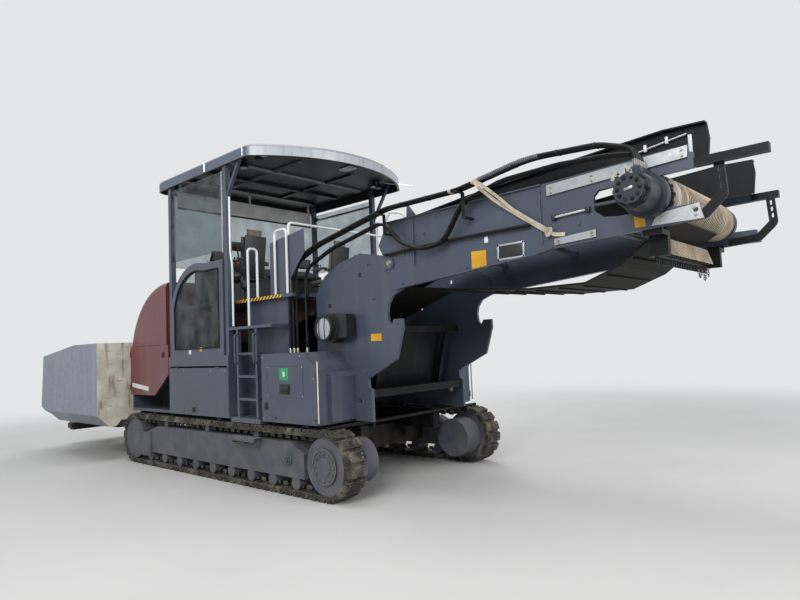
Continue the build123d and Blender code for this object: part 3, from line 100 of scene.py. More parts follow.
def linear(code):
    """An sRGB hex code as a linear colour with its alpha."""
    parts = [int(code[i:i + 2], 16) / 255 for i in (1, 3, 5)]
    return (*[c / 12.92 if c <= 0.04045 else ((c + 0.055) / 1.055) ** 2.4 for c in parts], 1.0)


def shade(colour, factor):
    """A colour, or a hex code's colour, made lighter or darker."""
    colour = linear(colour) if isinstance(colour, str) else colour
    return (*[min(1.0, c * factor) for c in colour[:3]], 1.0)


def feed(tree, node, inputs):
    """Sets a node's inputs: puts values in, hex codes as their colours, and links other nodes' outputs."""
    for key, value in inputs.items():
        if isinstance(value, bpy.types.NodeSocket):
            tree.links.new(value, node.inputs[key])
        else:
            node.inputs[key].default_value = linear(value) if isinstance(value, str) else value


def add(tree, kind, inputs=None, out=None, **settings):
    """Adds a shader node with its settings and what feeds it; gives the node, or its output out."""
    made = tree.nodes.new("ShaderNode" + kind)
    for key, value in settings.items():
        setattr(made, key, value)
    feed(tree, made, inputs or {})
    return made if out is None else made.outputs[out]


def patches(tree, place, size, low=0.35, high=0.65, amount=1.0, detail=4.0, stretch=(1, 1, 1)):
    """A mask of blotches size metres across, drawn out along an axis by stretch."""
    scale = [1 / (size * s) for s in stretch]
    scaled = add(tree, "VectorMath", {0: place, 1: scale}, 0, operation="MULTIPLY")
    cloud = add(tree, "TexNoise", {"Vector": scaled, "Scale": 1.0, "Detail": detail}, 0)
    return add(tree, "MapRange", {0: cloud, 1: low, 2: high, 3: 0.0, 4: amount}, 0)


def rise(tree, vector, axis, low, high, amount=1.0):
    """A mask that grows along one axis of a place or of the way a face looks."""
    part = add(tree, "SeparateXYZ", {0: vector}, axis)
    return add(tree, "MapRange", {0: part, 1: low, 2: high, 3: 0.0, 4: amount}, 0)


def layers(tree, base, *coats):
    """Lays coats over a base, each a mask and a colour."""
    for mask, colour in coats:
        base = add(tree, "Mix", {0: mask, 6: base, 7: colour}, 2, data_type="RGBA")
    return base


def product(tree, *masks):
    """Where all the masks meet."""
    met = masks[0]
    for mask in masks[1:]:
        met = add(tree, "Math", {0: met, 1: mask}, 0, operation="MULTIPLY")
    return met


def roughen(tree, shader, mask, low, high):
    """Runs the roughness from low to high by a mask."""
    feed(tree, shader, {"Roughness": add(tree, "MapRange", {0: mask, 1: 0.0, 2: 1.0, 3: low, 4: high}, 0)})


def emboss(tree, shader, relief, strength, depth):
    """Raises the surface by a relief, depth metres high."""
    bump = add(tree, "Bump", {"Height": relief, "Strength": strength, "Distance": depth}, 0)
    feed(tree, shader, {"Normal": bump})


def show(tree, surface):
    """Puts another surface in the place of the plain shader."""
    feed(tree, tree.nodes["Material Output"], {"Surface": surface})


def new_material(name):
    """An empty node material: its tree and shader, and the object's own places and face directions."""
    made = bpy.data.materials.new(name)
    made.use_nodes = True
    tree = made.node_tree
    tree.nodes.clear()
    shader = add(tree, "BsdfPrincipled")
    add(tree, "OutputMaterial", {"Surface": shader.outputs[0]})
    own = add(tree, "TexCoord").outputs
    return tree, shader, own["Object"], own["Normal"]


def rubbed_edge(tree, place, width, amount):
    """Where a sheet's edge is rubbed through: there the rounded normal leaves the flat one."""
    rounded = add(tree, "Bevel", {"Radius": width}, 0, samples=4)
    flat = add(tree, "NewGeometry", out="Normal")
    turn = add(tree, "VectorMath", {0: rounded, 1: flat}, "Value", operation="DOT_PRODUCT")
    edge = add(tree, "MapRange", {0: turn, 1: 0.99, 2: 0.86, 3: 0.0, 4: 1.0}, 0)
    return product(tree, edge, patches(tree, place, 0.05, 0.42, 0.66, amount))


def road_dust(tree, place, normal, lying, low, top):
    """Stone dust: it lies on what faces up, and clings to what is near the ground."""
    up = rise(tree, normal, "Z", 0.35, 1.0, lying)
    near = add(tree, "Math", {0: rise(tree, place, "Z", top, 0.25, low), 1: up}, 0, operation="MAXIMUM")
    return product(tree, near, patches(tree, place, 0.22, 0.36, 0.68, detail=6))


# name, colour, roughness, gloss, dust that lies, dust near the ground, height it reaches, wear on edges, runs
ENAMELS = (
    ("Sprayed_enamel_slate", "body", 0.38, 0.5, 0.30, 0.35, 1.2, 0.35, 0.10),
    ("Sprayed_enamel_maroon", "hood", 0.30, 0.5, 0.12, 0.15, 1.6, 0.15, 0.22),
    ("Sprayed_enamel_crawler", "crawler", 0.58, 0.35, 0.55, 0.28, 1.1, 0.6, 0.12),
    ("Sprayed_enamel_black", "black", 0.45, 0.16, 0.14, 0.22, 0.9, 0.30, 0.04),
    ("Sprayed_enamel_motor", "motor", 0.40, 0.3, 0.20, 0.1, 0.9, 0.35, 0.05),
    ("Sprayed_enamel_white", "rail", 0.36, 0.5, 0.15, 0.1, 1.2, 0.35, 0.15),
)


def enamel(name, colour, rough, gloss, lying, low, top, wear, runs):
    """Two-pack machine enamel: semi-gloss, faint orange peel, dust, and grey primer on rubbed edges."""
    tree, shader, place, normal = new_material(name)
    dust = road_dust(tree, place, normal, lying, low, top)
    paint = layers(tree, shade(colour, 0.88),
                   (patches(tree, place, 0.8, 0.3, 0.7), shade(colour, 1.12)),
                   (patches(tree, place, 0.12, 0.52, 0.76, runs, stretch=(1, 1, 12)), "#77746d"),
                   (dust, "#857d70"),
                   (rubbed_edge(tree, place, 0.01, wear), "#83868a"))
    dull = add(tree, "Math", {0: dust, 1: patches(tree, place, 0.12, 0.3, 0.8, 0.2)}, 0)
    roughen(tree, shader, dull, rough, rough + 0.35)
    emboss(tree, shader, patches(tree, place, 0.02, 0, 1, detail=2), 0.05, 0.004)
    feed(tree, shader, {"Base Color": paint, "Specular IOR Level": gloss, "Coat Weight": gloss * 0.4,
                        "Coat Roughness": 0.2})


def hopper_plate(colour):
    """Hopper steel: outside an enamel lighter than the body's, mostly painted sky reflection, the rest the
    enamel's own fading; inside and at the rear cream primer with rust in the scrapes.
    """
    tree, shader, place, normal = new_material("Worn_hopper_plate")
    outward = add(tree, "VectorMath", {0: normal, 1: place}, 0, operation="MULTIPLY")
    paint = layers(tree, "#b3ac9b",
                   (patches(tree, place, 0.3, detail=6), "#d3cfc2"),
                   (patches(tree, place, 0.11, 0.56, 0.68, 0.75, 8, (1, 1, 5)), "#6b4a33"),
                   (patches(tree, place, 0.03, 0.6, 0.72, 0.5, 6, (6, 6, 1)), "#3a3836"))
    # the outer plates' enamel: the paint's own fading, lightened further by a painted sky reflection
    outside_with_painted_sky_sheen = layers(tree, shade(colour, 0.92),
                   (patches(tree, place, 0.9, 0.3, 0.7), shade(colour, 1.08)),
                   (patches(tree, place, 0.09, 0.5, 0.76, 0.3, stretch=(1, 1, 12)), "#aaa9a2"))
    feed(tree, shader, {"Base Color": layers(tree, paint, (rise(tree, outward, "Y", 0.25, 0.45), outside_with_painted_sky_sheen))})
    roughen(tree, shader, patches(tree, place, 0.1, 0.3, 0.7), 0.4, 0.62)
    emboss(tree, shader, patches(tree, place, 0.4, 0, 1), 0.25, 0.012)


def roof_shell(colour):
    """Moulded roof: satin gel coat, a silvery rear band whose light grey is partly painted sunlight, and a
    grained black lining.
    """
    tree, shader, place, normal = new_material("Gel_coated_roof")
    out_way = add(tree, "VectorMath", {0: place, 1: (-0.45, 0, -4.42)}, 0, operation="ADD")
    level = add(tree, "VectorMath", {0: out_way, 1: (1, 1, 0)}, 0, operation="MULTIPLY")
    outward = add(tree, "VectorMath", {0: level, 1: normal}, "Value", operation="DOT_PRODUCT")
    edge = add(tree, "MapRange", {0: outward, 1: 0.0, 2: 0.05}, 0)
    outside = add(tree, "Math", {0: edge, 1: rise(tree, normal, "Z", 0.2, 0.4)}, 0, operation="MAXIMUM")
    outside = product(tree, outside, rise(tree, normal, "Z", -0.5, -0.3))
    # the rear-facing band: silvery trim, made lighter still by painted sunlight
    rear = product(tree, rise(tree, normal, "X", -0.3, -0.7), rise(tree, place, "Z", 4.47, 4.45))
    coat = layers(tree, shade(colour, 0.85),
                  (patches(tree, place, 0.5, 0.3, 0.7), shade(colour, 1.15)),
                  (rise(tree, place, "Z", 4.47, 4.4985, 0.6), "#8a9098"),
                  (rear, "#9da2a7"),
                  (patches(tree, place, 0.07, 0.54, 0.74, 0.4, 5, (1, 1, 5)), "#5a5f66"))
    feed(tree, shader, {"Base Color": layers(tree, "#131416", (outside, coat))})
    roughen(tree, shader, rear, 0.42, 0.3)
    emboss(tree, shader, patches(tree, place, 0.012, 0, 1, detail=2), 0.12, 0.003)


# name, colour, dust colour, dust share, share on what faces down, roughness, size of the grain
RUBBERS = (
    ("Vulcanised_belt_rubber", "#0f0d0b", "#3b352d", 0.45, 0.25, 0.66, 0.05),
    ("Braided_hose_rubber", "#0b0b0c", "#45433f", 0.18, 0.3, 0.40, 0.02),
    ("Dust_caked_rubber", "#978b78", "#b9ad99", 0.9, 0.85, 0.80, 0.05),
    ("Extruded_seal_rubber", "#0c0c0d", "#44423e", 0.2, 0.3, 0.50, 0.02),
)


def rubber(name, colour, dust_colour, share, under, rough, grain):
    """Carbon-black rubber, greyed by stone dust, more of it where it can lie."""
    tree, shader, place, normal = new_material(name)
    lying = add(tree, "MapRange", {0: rise(tree, normal, "Z", -0.6, 0.9), 3: under, 4: 1.0}, 0)
    dust = product(tree, patches(tree, place, grain * 3, 0.36, 0.62, share, 7), lying)
    feed(tree, shader, {"Base Color": layers(tree, colour, (dust, dust_colour)),
                        "Specular IOR Level": 0.2})
    roughen(tree, shader, dust, rough, min(1.0, rough + 0.25))
    emboss(tree, shader, patches(tree, place, grain, 0, 1, detail=5), 0.3, 0.004)


def track_steel():
    """Forged track shoes: brown soil between them, faces ground bright by gravel, pale dust over all."""
    tree, shader, place, _normal = new_material("Forged_track_steel")
    edge = rubbed_edge(tree, place, 0.01, 0.8)
    soil = layers(tree, "#151413",
                  (patches(tree, place, 0.06, 0.40, 0.66, 0.8, 7), "#3d3831"),
                  (patches(tree, place, 0.16, 0.46, 0.74, 0.7, 7), "#7b7366"),
                  (edge, "#97928a"))
    feed(tree, shader, {"Base Color": soil})
    roughen(tree, shader, edge, 0.8, 0.45)
    emboss(tree, shader, patches(tree, place, 0.018, 0, 1, detail=6), 0.6, 0.006)


# name, colour, roughness, blotch size, blotch contrast
METALS = (
    ("Hot_dip_galvanised_steel", "#a4a8ab", 0.42, 0.03, 0.28),
    ("Zinc_plated_fastener", "#a3a29a", 0.38, 0.02, 0.2),
    ("Hard_chromed_rod", "#d4d6d8", 0.12, 0.2, 0.05),
    ("Anodised_aluminium", "#b9bcbf", 0.3, 0.05, 0.1),
    ("Scoured_steel", "#77736c", 0.5, 0.06, 0.5),
)


def bare_metal(name, colour, rough, blotch, contrast):
    """Bare or plated metal with the spangle and mottling of its making."""
    tree, shader, place, _normal = new_material(name)
    spangle = add(tree, "TexVoronoi", {"Vector": place, "Scale": 1 / blotch}, "Color", feature="F1")
    mottle = product(tree, add(tree, "SeparateXYZ", {0: spangle}, 0),
                     patches(tree, place, blotch * 4, 0.2, 0.8))
    tone = layers(tree, shade(colour, 1 + contrast / 2), (mottle, shade(colour, 1 - contrast)))
    feed(tree, shader, {"Base Color": tone, "Metallic": 1.0})
    roughen(tree, shader, mottle, rough - 0.05, rough + 0.15)
    emboss(tree, shader, patches(tree, place, blotch / 2, 0, 1), 0.1, 0.002)


# name, colour, second colour, roughness, pattern size, bump
PLAIN = (
    ("Moulded_black_abs", "#0f1011", "#1d1e21", 0.48, 0.012, 0.15),
    ("Moulded_grey_abs", "#5c6066", "#6f747a", 0.5, 0.012, 0.12),
    ("Engraved_sign_green", "#1d7a52", "#2a8f63", 0.4, 0.05, 0.02),
    ("Vinyl_film_yellow", "#cf9a10", "#bb880f", 0.4, 0.06, 0.03),
    ("Vinyl_film_white", "#cfd1ce", "#b8bab6", 0.4, 0.06, 0.03),
    ("Cast_iron_block", "#232425", "#33312e", 0.7, 0.03, 0.3),
    ("Pressed_red_abs", "#a31717", "#8c1212", 0.4, 0.04, 0.02),
)


def plain_finish(name, colour, second, rough, size, bump):
    """Plastics, films and castings: two close tones, a fine grain and a little dust."""
    tree, shader, place, normal = new_material(name)
    dust = road_dust(tree, place, normal, 0.2, 0.15, 1.2)
    tone = layers(tree, colour, (patches(tree, place, size * 4), second), (dust, "#857d70"))
    feed(tree, shader, {"Base Color": tone})
    roughen(tree, shader, dust, rough, min(1.0, rough + 0.3))
    emboss(tree, shader, patches(tree, place, size, 0, 1, detail=3), bump, 0.002)


def glazing():
    """Tinted safety glass: clear, with a patchy film of dust."""
    tree, shader, place, _normal = new_material("Tinted_safety_glass")
    feed(tree, shader, {"Base Color": "#b9c2c6", "Roughness": 0.02, "Transmission Weight": 1.0, "IOR": 1.1})
    film = add(tree, "MapRange", {0: patches(tree, place, 0.25, detail=6), 3: 0.04, 4: 0.2}, 0)
    dusty = add(tree, "BsdfDiffuse", {"Color": "#8f979d"}, 0)
    show(tree, add(tree, "MixShader", {0: film, 1: shader.outputs[0], 2: dusty}, 0))


def lens():
    """Moulded polycarbonate lens with fine prisms."""
    tree, shader, place, _normal = new_material("Clear_polycarbonate_lens")
    prisms = add(tree, "TexWave", {"Vector": place, "Scale": 14.0, "Distortion": 0.0}, "Fac")
    clear = "#e6ecef"
    feed(tree, shader, {"Base Color": layers(tree, clear, (product(tree, prisms, 0.5), shade(clear, 0.7))),
                        "Roughness": 0.12, "Transmission Weight": 0.6, "IOR": 1.4})
    emboss(tree, shader, prisms, 0.3, 0.003)


def hazard_film():
    """Reflective film with slanting stripes, 70 mm apart, yellow on black, scuffed by boots."""
    tree, shader, place, _normal = new_material("Reflective_hazard_film")
    slant = add(tree, "VectorMath", {0: place, 1: (14.0, 0.0, 14.0)}, "Value", operation="DOT_PRODUCT")
    stripe = add(tree, "Math", {0: slant}, 0, operation="FRACT")
    band = add(tree, "MapRange", {0: stripe, 1: 0.49, 2: 0.51}, 0)
    film = layers(tree, "#17171a", (band, "#d6a910"),
                  (patches(tree, place, 0.03, 0.55, 0.7, 0.6, 6), "#6b665d"))
    feed(tree, shader, {"Base Color": film, "Roughness": 0.35})


# name, colour, second colour, thread width, roughness
CLOTHS = (
    ("Coated_seat_vinyl", "#4f4a42", "#6a6458", 0.004, 0.55),
    ("Polyester_webbing", "#c2b9a4", "#9c937f", 0.003, 0.8),
)


def woven(name, colour, second, thread, rough):
    """Woven or coated cloth; the threads are drawn as coarse as they need to show."""
    tree, shader, place, _normal = new_material(name)
    bands = [add(tree, "TexWave", {"Vector": place, "Scale": 0.16 / thread, "Distortion": 0.4}, "Fac",
                 bands_direction=way) for way in ("X", "Z")]
    weave = product(tree, *bands)
    tone = layers(tree, colour, (patches(tree, place, 0.09, 0.3, 0.7), second),
                  (product(tree, weave, 0.35), shade(colour, 0.55)))
    feed(tree, shader, {"Base Color": tone, "Roughness": rough, "Sheen Weight": 0.2})
    emboss(tree, shader, weave, 0.35, 0.002)


# Finish, and how the names of its CAD nodes start; the other nodes are slate
NODE_FINISHES = (
    ("Forged_track_steel", "track_"),
    ("Sprayed_enamel_crawler", "crawler_frame"),
    ("Sprayed_enamel_black", "main_frame rear_cross hopper_base push_beam belt_skirts scraper "
                             "cylinder_barrel end_arms hose_saddles"),
    ("Cast_iron_block", "engine_block"),
    ("Sprayed_enamel_maroon", "engine_hood hood_door"),
    ("Worn_hopper_plate", "hopper_wing front_flap"),
    ("Scoured_steel", "push_roller tail_drum"),
    ("Vulcanised_belt_rubber", "belt"),
    ("Dust_caked_rubber", "drive_drum"),
    ("Hot_dip_galvanised_steel", "guide_strips"),
    ("Braided_hose_rubber", "hoses"),
    ("Extruded_seal_rubber", "side_pipe"),
    ("Hard_chromed_rod", "cylinder_rod"),
    ("Sprayed_enamel_motor", "drum_bearing drum_motor"),
    ("Gel_coated_roof", "canopy_roof"),
    ("Tinted_safety_glass", "station_glass"),
    ("Moulded_black_abs", "seats console work_lights"),
    ("Sprayed_enamel_white", "handrails"),
)


# Mesh making

def piece(name, bm, paint, body="chassis", smooth=32):
    """Turns mesh data in the machine's frame into a piece that rides on a body."""
    bmesh.ops.recalc_face_normals(bm, faces=bm.faces)
    mesh = bpy.data.meshes.new(name)
    bm.to_mesh(mesh)
    bm.free()
    mesh.materials.append(bpy.data.materials[paint])
    if smooth:
        mesh.polygons.foreach_set("use_smooth", [True] * len(mesh.polygons))
        mesh.set_sharp_from_angle(angle=math.radians(smooth))
    made = bpy.data.objects.new(name, mesh)
    bpy.context.scene.collection.objects.link(made)
    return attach(made, body)


@contextmanager
def shape(name, paint, body="chassis", slot=None):
    """Opens mesh data, and makes it into a piece when its block of lines ends."""
    bm = bmesh.new()
    yield bm
    piece(name, bm, paint, body)


def on_sides(name, paint, body="chassis", slot=None):
    """Makes a piece on the left side and one on the right: gives each one's mesh data with 1 or -1."""
    for word, side in SIDES:
        with shape(f"{name}_{word}", paint, body + word if body.endswith("_") else body, slot) as bm:
            yield bm, side


def block(bm, x0, x1, y0, y1, z0, z1, edge=0.002, turn=None):
    """A plate or block with broken edges; turn is a matrix about its own middle."""
    middle = Vector(((x0 + x1) / 2, (y0 + y1) / 2, (z0 + z1) / 2))
    size = Matrix.Diagonal((abs(x1 - x0), abs(y1 - y0), abs(z1 - z0), 1))
    place = Matrix.Translation(middle) @ (turn or Matrix.Identity(4)) @ size
    made = bmesh.ops.create_cube(bm, size=1, matrix=place)
    if edge:
        edges = list({e for v in made["verts"] for e in v.link_edges})
        bmesh.ops.bevel(bm, geom=edges, offset=edge, segments=2, affect="EDGES", profile=0.5)


def slab(bm, x0, x1, y, half, z0, z1, edge=0.002, turn=None):
    """A block whose middle is at y, half its width to each side."""
    block(bm, x0, x1, y - half, y + half, z0, z1, edge, turn)


def face_block(bm, side, y, x0, x1, z0, z1, thick, edge=0.002, turn=None):
    """A block on the plane y of a side; it stands out by thick."""
    block(bm, x0, x1, side * y, side * (y + thick), z0, z1, edge, turn)


def basis(axis):
    """Two directions square to an axis, and the axis."""
    along = Vector(axis).normalized()
    side = (along.orthogonal() if abs(along.z) > 0.99 else along.cross(Vector(UP))).normalized()
    return side, along.cross(side), along


def lathe(bm, centre, axis, profile, steps):
    """Turns (radius, height) pairs round an axis; a radius of 0 closes the form."""
    u, v, w = basis(axis)
    centre = Vector(centre)
    rings = []
    for radius, along in profile:
        rings.append([bm.verts.new(centre + w * along + (u * math.cos(a) + v * math.sin(a)) * radius)
                      for a in (i * math.tau / steps for i in range(steps if radius else 1))])
    for low, high in zip(rings, rings[1:]):
        for i in range(steps):
            j = (i + 1) % steps
            corners = [low[i % len(low)], low[j % len(low)], high[j % len(high)], high[i % len(high)]]
            corners = list(dict.fromkeys(corners))      # a closed end has three
            if len(corners) > 2:
                bm.faces.new(corners)


def ring(bm, centre, axis, inner, outer, long, steps):
    """A flat ring or a sleeve."""
    lathe(bm, centre, axis, ((inner, 0), (outer, 0), (outer, long), (inner, long), (inner, 0)), steps)


def bolt(bm, centre, axis, across, height):
    """A hexagon bolt head on its washer."""
    r = across / math.sqrt(3)
    low = height * 0.22
    lathe(bm, centre, axis, [(0, 0), (r * 1.45, 0), (r * 1.45, low), (0, low)], 14)
    lathe(bm, centre, axis, [(r, low), (r, height * 1.02), (r * 0.86, low + height), (0, low + height)], 6)


def bolt_ring(bm, centre, axis, radius, count, across, height):
    """Bolt heads round an axis."""
    u, v, _w = basis(axis)
    for i in range(count):
        a = i * math.tau / count
        bolt(bm, Vector(centre) + (u * math.cos(a) + v * math.sin(a)) * radius, axis, across, height)


def bolts(bm, side, y, places, across, height):
    """Bolt heads on the plane y of a side, at places of x and z."""
    for x, z in places:
        bolt(bm, (x, side * y, z), (0, side, 0), across, height)


def skin(bm, rings):
    """Faces between rings of the same number of points."""
    for low, high in zip(rings, rings[1:]):
        for k, at in enumerate(low):
            j = (k + 1) % len(low)
            bm.faces.new([at, low[j], high[j], high[k]])


def sweep(bm, path, radius, closed=False, sides=8):
    """A round bar along a path of points."""
    path = [Vector(p) for p in path]
    n = len(path)
    rings = []
    up = None
    for i, p in enumerate(path):
        before = path[i - 1] if closed or i else p
        after = path[(i + 1) % n] if closed or i < n - 1 else p
        along = (after - before).normalized()
        up = along.orthogonal().normalized() if up is None else (up - along * up.dot(along)).normalized()
        side = along.cross(up)
        rings.append([bm.verts.new(p + (up * math.cos(a) + side * math.sin(a)) * radius)
                      for a in (k * math.tau / sides for k in range(sides))])
    skin(bm, rings)
    if closed:
        low, high = rings[-1], rings[0]
        near = min(range(sides), key=lambda s: (high[s].co - low[0].co).length)
        skin(bm, [low, high[near:] + high[:near]])
    else:
        bm.faces.new(rings[0])
        bm.faces.new(rings[-1])


def arc3(a, b, c, steps):
    """Points of the arc from a through b to c in the XZ plane, each half of it less than half a turn."""
    a, b, c = (complex(*p) for p in (a, b, c))
    w = (c - a) / (b - a)
    middle = a + (b - a) * (w - abs(w) ** 2) / (2j * w.imag)
    turn = cmath.phase((b - middle) / (a - middle)) + cmath.phase((c - middle) / (b - middle))
    points = (middle + (a - middle) * cmath.rect(1, turn * i / steps) for i in range(steps + 1))
    return [(p.real, p.imag) for p in points]


def plate(bm, points, side_y, thick, side=1):
    """A thin plate on a side face, from (x, z) corners; it stands out by thick."""
    ends = [[bm.verts.new((x, side * y, z)) for x, z in points] for y in (side_y, side_y + thick)]
    for end in ends:
        bm.faces.new(end)
    skin(bm, ends)


def strut(bm, a, b, wide, thick):
    """A flat bar from a to b; wide is its whole width, half to each side, and thick how far it stands out."""
    ends = [[bm.verts.new(Vector(p) + Vector(wide) * w + Vector(thick) * t)
             for w, t in ((-0.5, 0), (0.5, 0), (0.5, 1), (-0.5, 1))] for p in (a, b)]
    for end in ends:
        bm.faces.new(end)
    skin(bm, ends)


def ribbon(bm, points, width, thick):
    """A flat strap through points, lying against the machine's side, its width across its run."""
    points = [Vector(p) for p in points]
    rings = []
    for i, p in enumerate(points):
        along = (points[min(i + 1, len(points) - 1)] - points[max(i - 1, 0)]).normalized()
        across = along.cross(Vector(LEFT)).normalized() * width / 2
        out = across.cross(along).normalized() * thick
        out *= 1 if out.y > 0 else -1
        rings.append([bm.verts.new(c) for c in (p - across, p + across, p + across + out, p - across + out)])
    skin(bm, rings)
    for end in (rings[0], rings[-1]):
        bm.faces.new(end)


def chain(bm, run):
    """Welded chain links along a run of close points, every second one turned a quarter."""
    wire, long, wide = 0.0035, 0.03, 0.02
    gone, flat = long, False
    for before, at in zip(run, run[1:]):
        gone += (at - before).length
        if gone < long * 0.72:
            continue
        gone, flat = 0.0, not flat
        u, v, along = basis(at - before)
        across = u if flat else v
        loop = [at + along * math.sin(a) * long / 2 + across * math.cos(a) * wide / 2
                for a in (k * math.tau / 12 for k in range(12))]
        sweep(bm, loop, wire, closed=True, sides=6)


def top_of(node, x, y):
    """The height of a CAD node's upper face at a place."""
    hit, at, _normal, _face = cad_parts[node].ray_cast(Vector((x, y, 6)), Vector(DOWN))
    if not hit:
        raise RuntimeError(f"{node} isn't under {x:.2f}, {y:.2f}")
    return at.z


def on_drum(turn, y, r):
    """A point over the drum: turn is in degrees from its rear, up from level."""
    a = math.radians(turn)
    return DRUM + Vector((-math.cos(a) * r, y, math.sin(a) * r))


def hose_band(bm, x, reach, width, thick):
    """A band round a bundle of hoses at a place along the conveyor, square to their run."""
    middle = (reach[0] + HOSE_R, reach[1] - HOSE_R)
    height = [top_of("hoses", x + d, middle[0]) - HOSE_R for d in (-0.03, 0, 0.03)]
    along = Vector((0.06, 0, height[2] - height[0])).normalized()
    up = Vector((-along.z, 0, along.x))
    steps = 10
    rings = []
    for grow in (HOSE_R + 0.0005, HOSE_R + thick):
        for end in (-width / 2, width / 2):
            rings.append([])
            for y, turn in ((middle[1], -0.5), (middle[0], 0.5)):
                for k in range(steps + 1):
                    a = math.pi * (turn + k / steps)
                    rings[-1].append(bm.verts.new(Vector((x, y + math.cos(a) * grow, height[1]))
                                                  + up * math.sin(a) * grow + along * end))
    skin(bm, [rings[k] for k in (0, 1, 3, 2, 0)])


# Settings

def tint(name, description, code):
    """A paint setting whose default is an sRGB hex code."""
    return bpy.props.FloatVectorProperty(name=name, description=description, subtype="COLOR", size=3,
                                         min=0, max=1, default=linear(code)[:3])


class FEEDER_PG_paints(bpy.types.PropertyGroup):
    """Paint colours of the machine."""
    body: tint("Body", "Enamel of the side panels and the conveyor", "#394150")
    hood: tint("Hood", "Enamel of the engine hood and its doors", "#5f1f23")
    # The hopper's colour is set lighter than the body's: mostly a painted sky reflection, the rest the
    # enamel's own fading.
    hopper: tint("Hopper", "Faded enamel of the hopper's outer plates", "#808793")
    crawler: tint("Crawler", "Enamel of the crawler frames", "#454853")
    black: tint("Frame", "Enamel of the chassis and small steel parts", "#101114")
    motor: tint("Motor", "Enamel of the drum's motor", "#262b35")
    rail: tint("Rails", "Enamel of the handrails", "#c9ccce")
    roof: tint("Roof", "Gel coat of the roof", "#4e5664")


class FEEDER_PG_sizes(bpy.types.PropertyGroup):
    """Sizes of the fittings."""
    bolt: bpy.props.FloatProperty(name="Bolt head", unit="LENGTH", default=0.024, min=0.01, max=0.06,
                                  description="Width across the flats of a common bolt head")
    stripe: bpy.props.FloatProperty(name="Hazard strip", description="Height of the platform's striped film",
                                    unit="LENGTH", default=0.042, min=0.02, max=0.05)
    cleat: bpy.props.FloatProperty(name="Cleat spacing", description="Distance between the belt's cleats",
                                   unit="LENGTH", default=0.25, min=0.1, max=1.0)
    lens: bpy.props.FloatProperty(name="Focal length", default=27.295, min=10, max=200,
                                  description="Focal length of the camera, in millimetres")


class FeederPart:
    """What all the operators share."""
    bl_options = {"REGISTER", "UNDO"}

    @property
    def paints(self):
        """The paint settings."""
        return bpy.context.scene.feeder_paints

    @property
    def sizes(self):
        """The sizes of the fittings."""
        return bpy.context.scene.feeder_sizes


class FEEDER_OT_finishes(FeederPart, bpy.types.Operator):
    """Make the finishes and give each CAD node its own"""
    bl_idname = "feeder.finishes"
    bl_label = "Finishes"

    def execute(self, _context):
        for name, colour, *rest in ENAMELS:
            enamel(name, getattr(self.paints, colour), *rest)
        hopper_plate(self.paints.hopper)
        roof_shell(self.paints.roof)
        for maker, rows in ((rubber, RUBBERS), (bare_metal, METALS), (plain_finish, PLAIN), (woven, CLOTHS)):
            for row in rows:
                maker(*row)
        for maker in (track_steel, glazing, lens, hazard_film):
            maker()
        for name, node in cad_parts.items():
            finish = next((f for f, starts in NODE_FINISHES if name.startswith(tuple(starts.split()))),
                          "Sprayed_enamel_slate")
            for spot in node.material_slots:
                spot.material = bpy.data.materials[finish]
        return {"FINISHED"}


